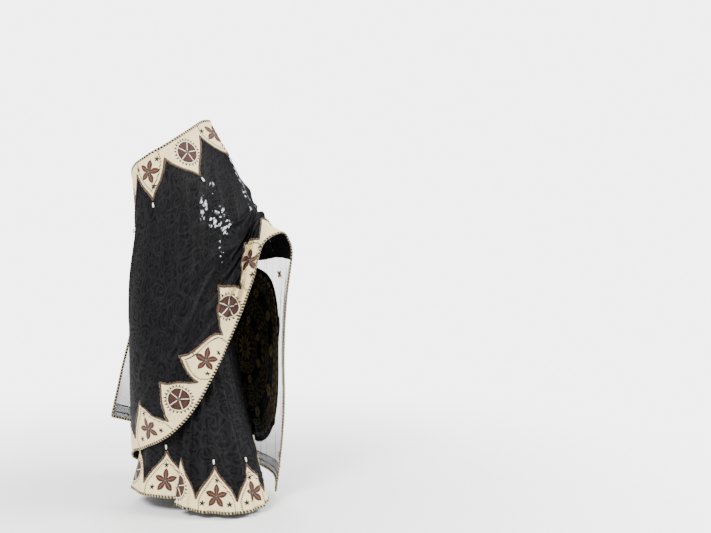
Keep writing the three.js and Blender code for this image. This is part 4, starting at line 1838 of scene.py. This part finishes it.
@dataclass
class Drape:
    """The front drape, up to the shoulder and over the arm, with the borders of its two edges."""

    strip: StripForm
    lower_notches: tuple[float, ...] = (-350, -145, 60, 290, 501, 691, 875, 1086, 1370)
    chest_notches: tuple[float, ...] = (-360, -165, 40, 179, 370, 555, 759, 960)

    def side_length(self, part: float) -> float:
        """Length of an edge from the seam at the back to the right side.

        Args:
            part: which edge, 0 for the lower and 1 for the upper one.

        Returns:
            The length in millimetres.
        """
        s = np.linspace(SEAM_SIDE, RIGHT_SIDE, 13)
        points = self.strip.at(s, np.full_like(s, part))
        return float(np.linalg.norm(np.diff(points, axis=0), axis=1).sum())

    def build(self, wardrobe: Wardrobe) -> None:
        """Builds the two stretches and their borders.

        Args:
            wardrobe: the finishes.
        """
        half = SEAM_GAP / 2
        front = Stretch(self.strip, SEAM_SIDE + half, SEAM_CREST - half, 37, 16)
        arm = Stretch(self.strip, SEAM_CREST + half, SEAM_JOIN - half, 12, 16)
        panels = (
            Panel(
                "front_drape_lace", "front_drape", front, 216, 170,
                "lace", (1.0, 1.05), "draped", ("under_wrap_lace",),
            ),
            Panel(
                "arm_drape_lace", "arm_drape", arm, 84, 190,
                "lace", (0.66, 0.27), "draped", ("front_drape_lace",),
            ),
        )
        for panel in panels:
            panel.build(wardrobe.thin_lace)
        wheel, flower = Figure.WHEEL, Figure.FLOWER
        kinds = (flower, wheel)
        lower = Border(
            "drape_lower_arches", "drape_lower_border", front, self.lower_notches, kinds, (1.2, 0.13),
            ("front_drape_lace",), start=-self.side_length(0.0), square=1.25, beads=False, rows=24,
        )
        chest = Border(
            "chest_arches", "chest_border", front, self.chest_notches, kinds, (0.75, 0.125),
            ("front_drape_lace",), upper=True, start=-self.side_length(1.0), square=0.6, ease=12.0,
        )
        wrist = Border(
            "wrist_arch", "wrist_border", arm, self.lower_notches, kinds, (0.15, 0.15),
            ("arm_drape_lace",), start=lower.end, square=1.0, beads=False, rows=24,
        )
        shoulder = Border(
            "shoulder_arch", "shoulder_border", arm, self.chest_notches, kinds, (0.27, 0.13),
            ("arm_drape_lace",), upper=True, start=chest.end, square=0.6,
        )
        for border in (lower, chest, wrist, shoulder):
            border.build(wardrobe)
            edge_braid(border, points=240).build(wardrobe.braid)


@dataclass
class EndPiece:
    """The sheer end piece with its oval, end band, small flowers and braids."""

    strip: StripForm
    middle: tuple[float, float] = (0.465, 0.592)
    reach: tuple[float, float] = (0.43, 0.378)
    cut: float = 0.985
    band: float = 0.0625
    band_middle: float = 0.42
    cord_lift: float = 2.0
    cord_radius: float = 1.6
    flower_lift: float = 3.0
    petals: int = 4
    petal_size: tuple[float, float, float] = (0.0062, 0.0088, 0.0016)
    petal_reach: float = 0.0095
    flowers: tuple[tuple[float, float], ...] = ((0.09, 0.268), (0.09, 0.943), (0.90, 0.177), (0.62, 0.1))

    def build(self, wardrobe: Wardrobe) -> None:
        """Builds the sheer cloth and all that is sewn on it.

        Args:
            wardrobe: the finishes.
        """
        pallu = Stretch(self.strip, SEAM_JOIN + SEAM_GAP / 2, SEAM_END, 24, 16)
        sheer = Panel(
            "end_piece_sheer", "pallu", pallu, 130, 124, "sheer", (0.95, 0.93), "hung", ("arm_drape_lace",)
        )
        sheer.build(wardrobe.sheer)
        self._oval(wardrobe, pallu)
        self._band(wardrobe, pallu)
        self._flowers(wardrobe, pallu)
        self._braids(wardrobe, pallu)

    def _oval(self, wardrobe: Wardrobe, pallu: Stretch) -> None:
        """The patterned oval, sewn on the sheer cloth.

        Args:
            wardrobe: the finishes.
            pallu: the stretch that it is sewn on.
        """
        (s0, t0), (rs, rt) = self.middle, self.reach
        columns, rows = 110, 96
        angle = np.linspace(-math.pi / 2, math.pi / 2, columns + 1)
        place = s0 + rs * self.cut * np.sin(angle)
        width = rt * np.sqrt(1 - ((place - s0) / rs) ** 2)
        share = np.linspace(-1, 1, rows + 1)
        part = t0 + width[:, None] * share[None, :]
        u = np.repeat((place * pallu.columns)[:, None], rows + 1, axis=1)
        v = part * pallu.rows
        points = pallu.at(u, v) + pallu.normal(u, v) * APPLIQUE_LIFT
        uv = np.stack([(u / pallu.columns - s0) / rs, (part - t0) / rt], axis=-1)
        oval = SheetMesh(points, uv).build("end_piece_oval", APPLIQUE_WALL)
        piece = dress(oval, wardrobe.oval)
        piece.data.materials.append(wardrobe.oval_reverse)
        piece.modifiers["wall"].material_offset = 1
        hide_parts("pallu_medallion")
        turn = np.linspace(0, 2 * math.pi, 321)
        u = (s0 + rs * self.cut * np.cos(turn)) * pallu.columns
        v = (t0 + rt * self.cut * np.sin(turn)) * pallu.rows
        line, normals = pallu.at(u, v), pallu.normal(u, v)
        centre, places = line + normals * self.cord_lift, distances_along(line)
        name, radius = "end_piece_oval_cord", self.cord_radius
        tube(name, centre, normals, places, radius, wardrobe.cord, uneven=0.2)

    def _band(self, wardrobe: Wardrobe, pallu: Stretch) -> None:
        """The tinted band along the sheer end.

        Args:
            wardrobe: the finishes.
            pallu: the stretch that it is sewn on.
        """
        place = np.linspace(1 - self.band, 1, 13)
        part = np.linspace(0, 1, 125)
        u, v = np.meshgrid(place * pallu.columns, part * pallu.rows, indexing="ij")
        points = pallu.at(u, v) + pallu.normal(u, v) * APPLIQUE_LIFT
        uv = np.stack([u / pallu.columns * 0.9, v / pallu.rows], axis=-1)
        band = SheetMesh(points, uv).build("end_piece_band", APPLIQUE_WALL)
        piece = dress(band, wardrobe.end_band)
        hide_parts("pallu_end_band")

    def _flowers(self, wardrobe: Wardrobe, pallu: Stretch) -> None:
        """Small cream flowers of four petals, sewn on the sheer cloth.

        Args:
            wardrobe: the finishes.
            pallu: the stretch that it is sewn on.
        """
        bm = bmesh.new()
        for s, t in self.flowers:
            at = np.array([s * pallu.columns]), np.array([t * pallu.rows])
            centre, normal = pallu.at(*at)[0], pallu.normal(*at)[0]
            turn = Vector((0, 0, 1)).rotation_difference(Vector(normal)).to_matrix().to_4x4()
            place = Matrix.Translation(Vector(to_frame(centre + normal * self.flower_lift))) @ turn
            for k in range(self.petals):
                petal = bmesh.ops.create_uvsphere(bm, u_segments=12, v_segments=8, radius=1.0)["verts"]
                bmesh.ops.scale(bm, vec=self.petal_size, verts=petal)
                bmesh.ops.translate(bm, vec=(0, self.petal_reach, 0), verts=petal)
                spin = Matrix.Rotation(math.pi / 4 + k * 2 * math.pi / self.petals, 4, "Z")
                bmesh.ops.transform(bm, matrix=place @ spin, verts=petal)
            middle = bmesh.ops.create_uvsphere(bm, u_segments=10, v_segments=6, radius=0.0026)["verts"]
            bmesh.ops.transform(bm, matrix=place, verts=middle)
        dress(finished("end_piece_flowers", bm), wardrobe.petal)

    def _braids(self, wardrobe: Wardrobe, pallu: Stretch) -> None:
        """Braids round the sheer cloth, along its join with the lace and along the end band.

        Args:
            wardrobe: the finishes.
            pallu: the stretch that it is sewn on.
        """
        last = float(pallu.columns)
        upper, lower = last * (1 - self.band), last * (1 - self.band * self.band_middle)
        lines = (
            Braid("end_piece_front_braid", pallu, "sheer", row=0.0),
            Braid("end_piece_back_braid", pallu, "sheer", row=float(pallu.rows)),
            Braid("end_piece_join_braid", pallu, "sheer", column=0.0, lift=1.8, radius=3.2),
            Braid("end_piece_end_braid", pallu, "sheer", column=last, lift=0.6),
            Braid("end_band_upper_braid", pallu, "end_tint", column=upper, lift=3.4, radius=2.2),
            Braid("end_band_lower_braid", pallu, "end_tint", column=lower, lift=3.4, radius=2.2),
        )
        for line in lines:
            line.build(wardrobe.braid)


@dataclass
class Studio:
    """Floor, light and camera."""

    camera_place: tuple[float, float, float] = (-1.6108, -3.9869, 0.185)
    yaw: float = -31.35
    pitch: float = 4.64
    lens: float = 55.4
    surround: float = 0.9
    seen_white: float = 5.0
    floor_colour: Colour = (0.93, 0.93, 0.93, 1)
    floor_size: float = 14.0
    floor_solid: float = 0.35
    floor_end: float = 2.6
    lit_spot: tuple[float, float, float] = (0.05, 0, -0.2)

    def build(self) -> None:
        """Sets the studio up round the saree."""
        self._floor()
        self._lights()
        self._camera()

    def _floor(self) -> None:
        """A plain pale floor under the hem, which fades into the white surround."""
        bm = bmesh.new()
        bmesh.ops.create_grid(bm, x_segments=4, y_segments=4, size=self.floor_size)
        bmesh.ops.translate(bm, vec=(0, 0, -WAIST_HEIGHT * MM), verts=bm.verts)
        floor = finished("floor", bm)
        material = bpy.data.materials.new("pale_floor")
        material.use_nodes = True
        shader = material.node_tree.nodes["Principled BSDF"]
        shader.inputs["Base Color"].default_value = self.floor_colour
        shader.inputs["Roughness"].default_value = 0.8
        shader.inputs["Specular IOR Level"].default_value = 0.1
        paper = Paper(material.node_tree)
        place = paper.node("ShaderNodeTexCoord").outputs["Object"]
        split = paper.node("ShaderNodeSeparateXYZ", Vector=place)
        far = hypot(paper.signal(split.outputs["X"]), paper.signal(split.outputs["Y"]))
        paper.feed(shader.inputs["Alpha"], far.soft(self.floor_solid, self.floor_end).flipped())
        floor.data.materials.append(material)

    def _lights(self) -> None:
        """Two large soft lamps, a weaker one behind, and a white surround."""
        lamps = (
            ("key", (-3.2, -2.0, 2.6), 1.6, 420.0),
            ("fill", (3.2, -2.4, 2.0), 1.8, 330.0),
            ("back", (1.5, 3.6, 2.6), 2.0, 260.0),
        )
        for name, place, size, power in lamps:
            data = bpy.data.lights.new(name, "AREA")
            data.size = size
            data.energy = power
            lamp = bpy.data.objects.new(name, data)
            lamp.location = place
            aim = Vector(self.lit_spot) - Vector(place)
            lamp.rotation_euler = aim.to_track_quat("-Z", "Y").to_euler()
            bpy.context.scene.collection.objects.link(lamp)
        world = bpy.data.worlds.new("surround")
        world.use_nodes = True
        paper = Paper(world.node_tree)
        backdrop = world.node_tree.nodes["Background"]
        backdrop.inputs["Color"].default_value = (1, 1, 1, 1)
        seen = paper.signal(paper.node("ShaderNodeLightPath").outputs["Is Camera Ray"])
        paper.feed(backdrop.inputs["Strength"], seen * (self.seen_white - self.surround) + self.surround)
        bpy.context.scene.world = world

    def _camera(self) -> None:
        """The camera at the photograph's left view."""
        data = bpy.data.cameras.new("camera")
        data.lens = self.lens
        data.sensor_width = 36.0
        camera = bpy.data.objects.new("camera", data)
        camera.location = self.camera_place
        camera.rotation_euler = (math.radians(90 - self.pitch), 0, math.radians(self.yaw))
        bpy.context.scene.collection.objects.link(camera)
        bpy.context.scene.camera = camera


def main() -> None:
    """Builds the saree piece by piece."""
    logging.basicConfig(level=logging.INFO, format="%(name)s %(message)s")
    wardrobe = Wardrobe()
    strip = StripForm()
    for part in (Skirt(strip), Drape(strip), EndPiece(strip)):
        part.build(wardrobe)
        log.info("built %s", type(part).__name__)
    Studio().build()


if __name__ == "__main__":
    main()
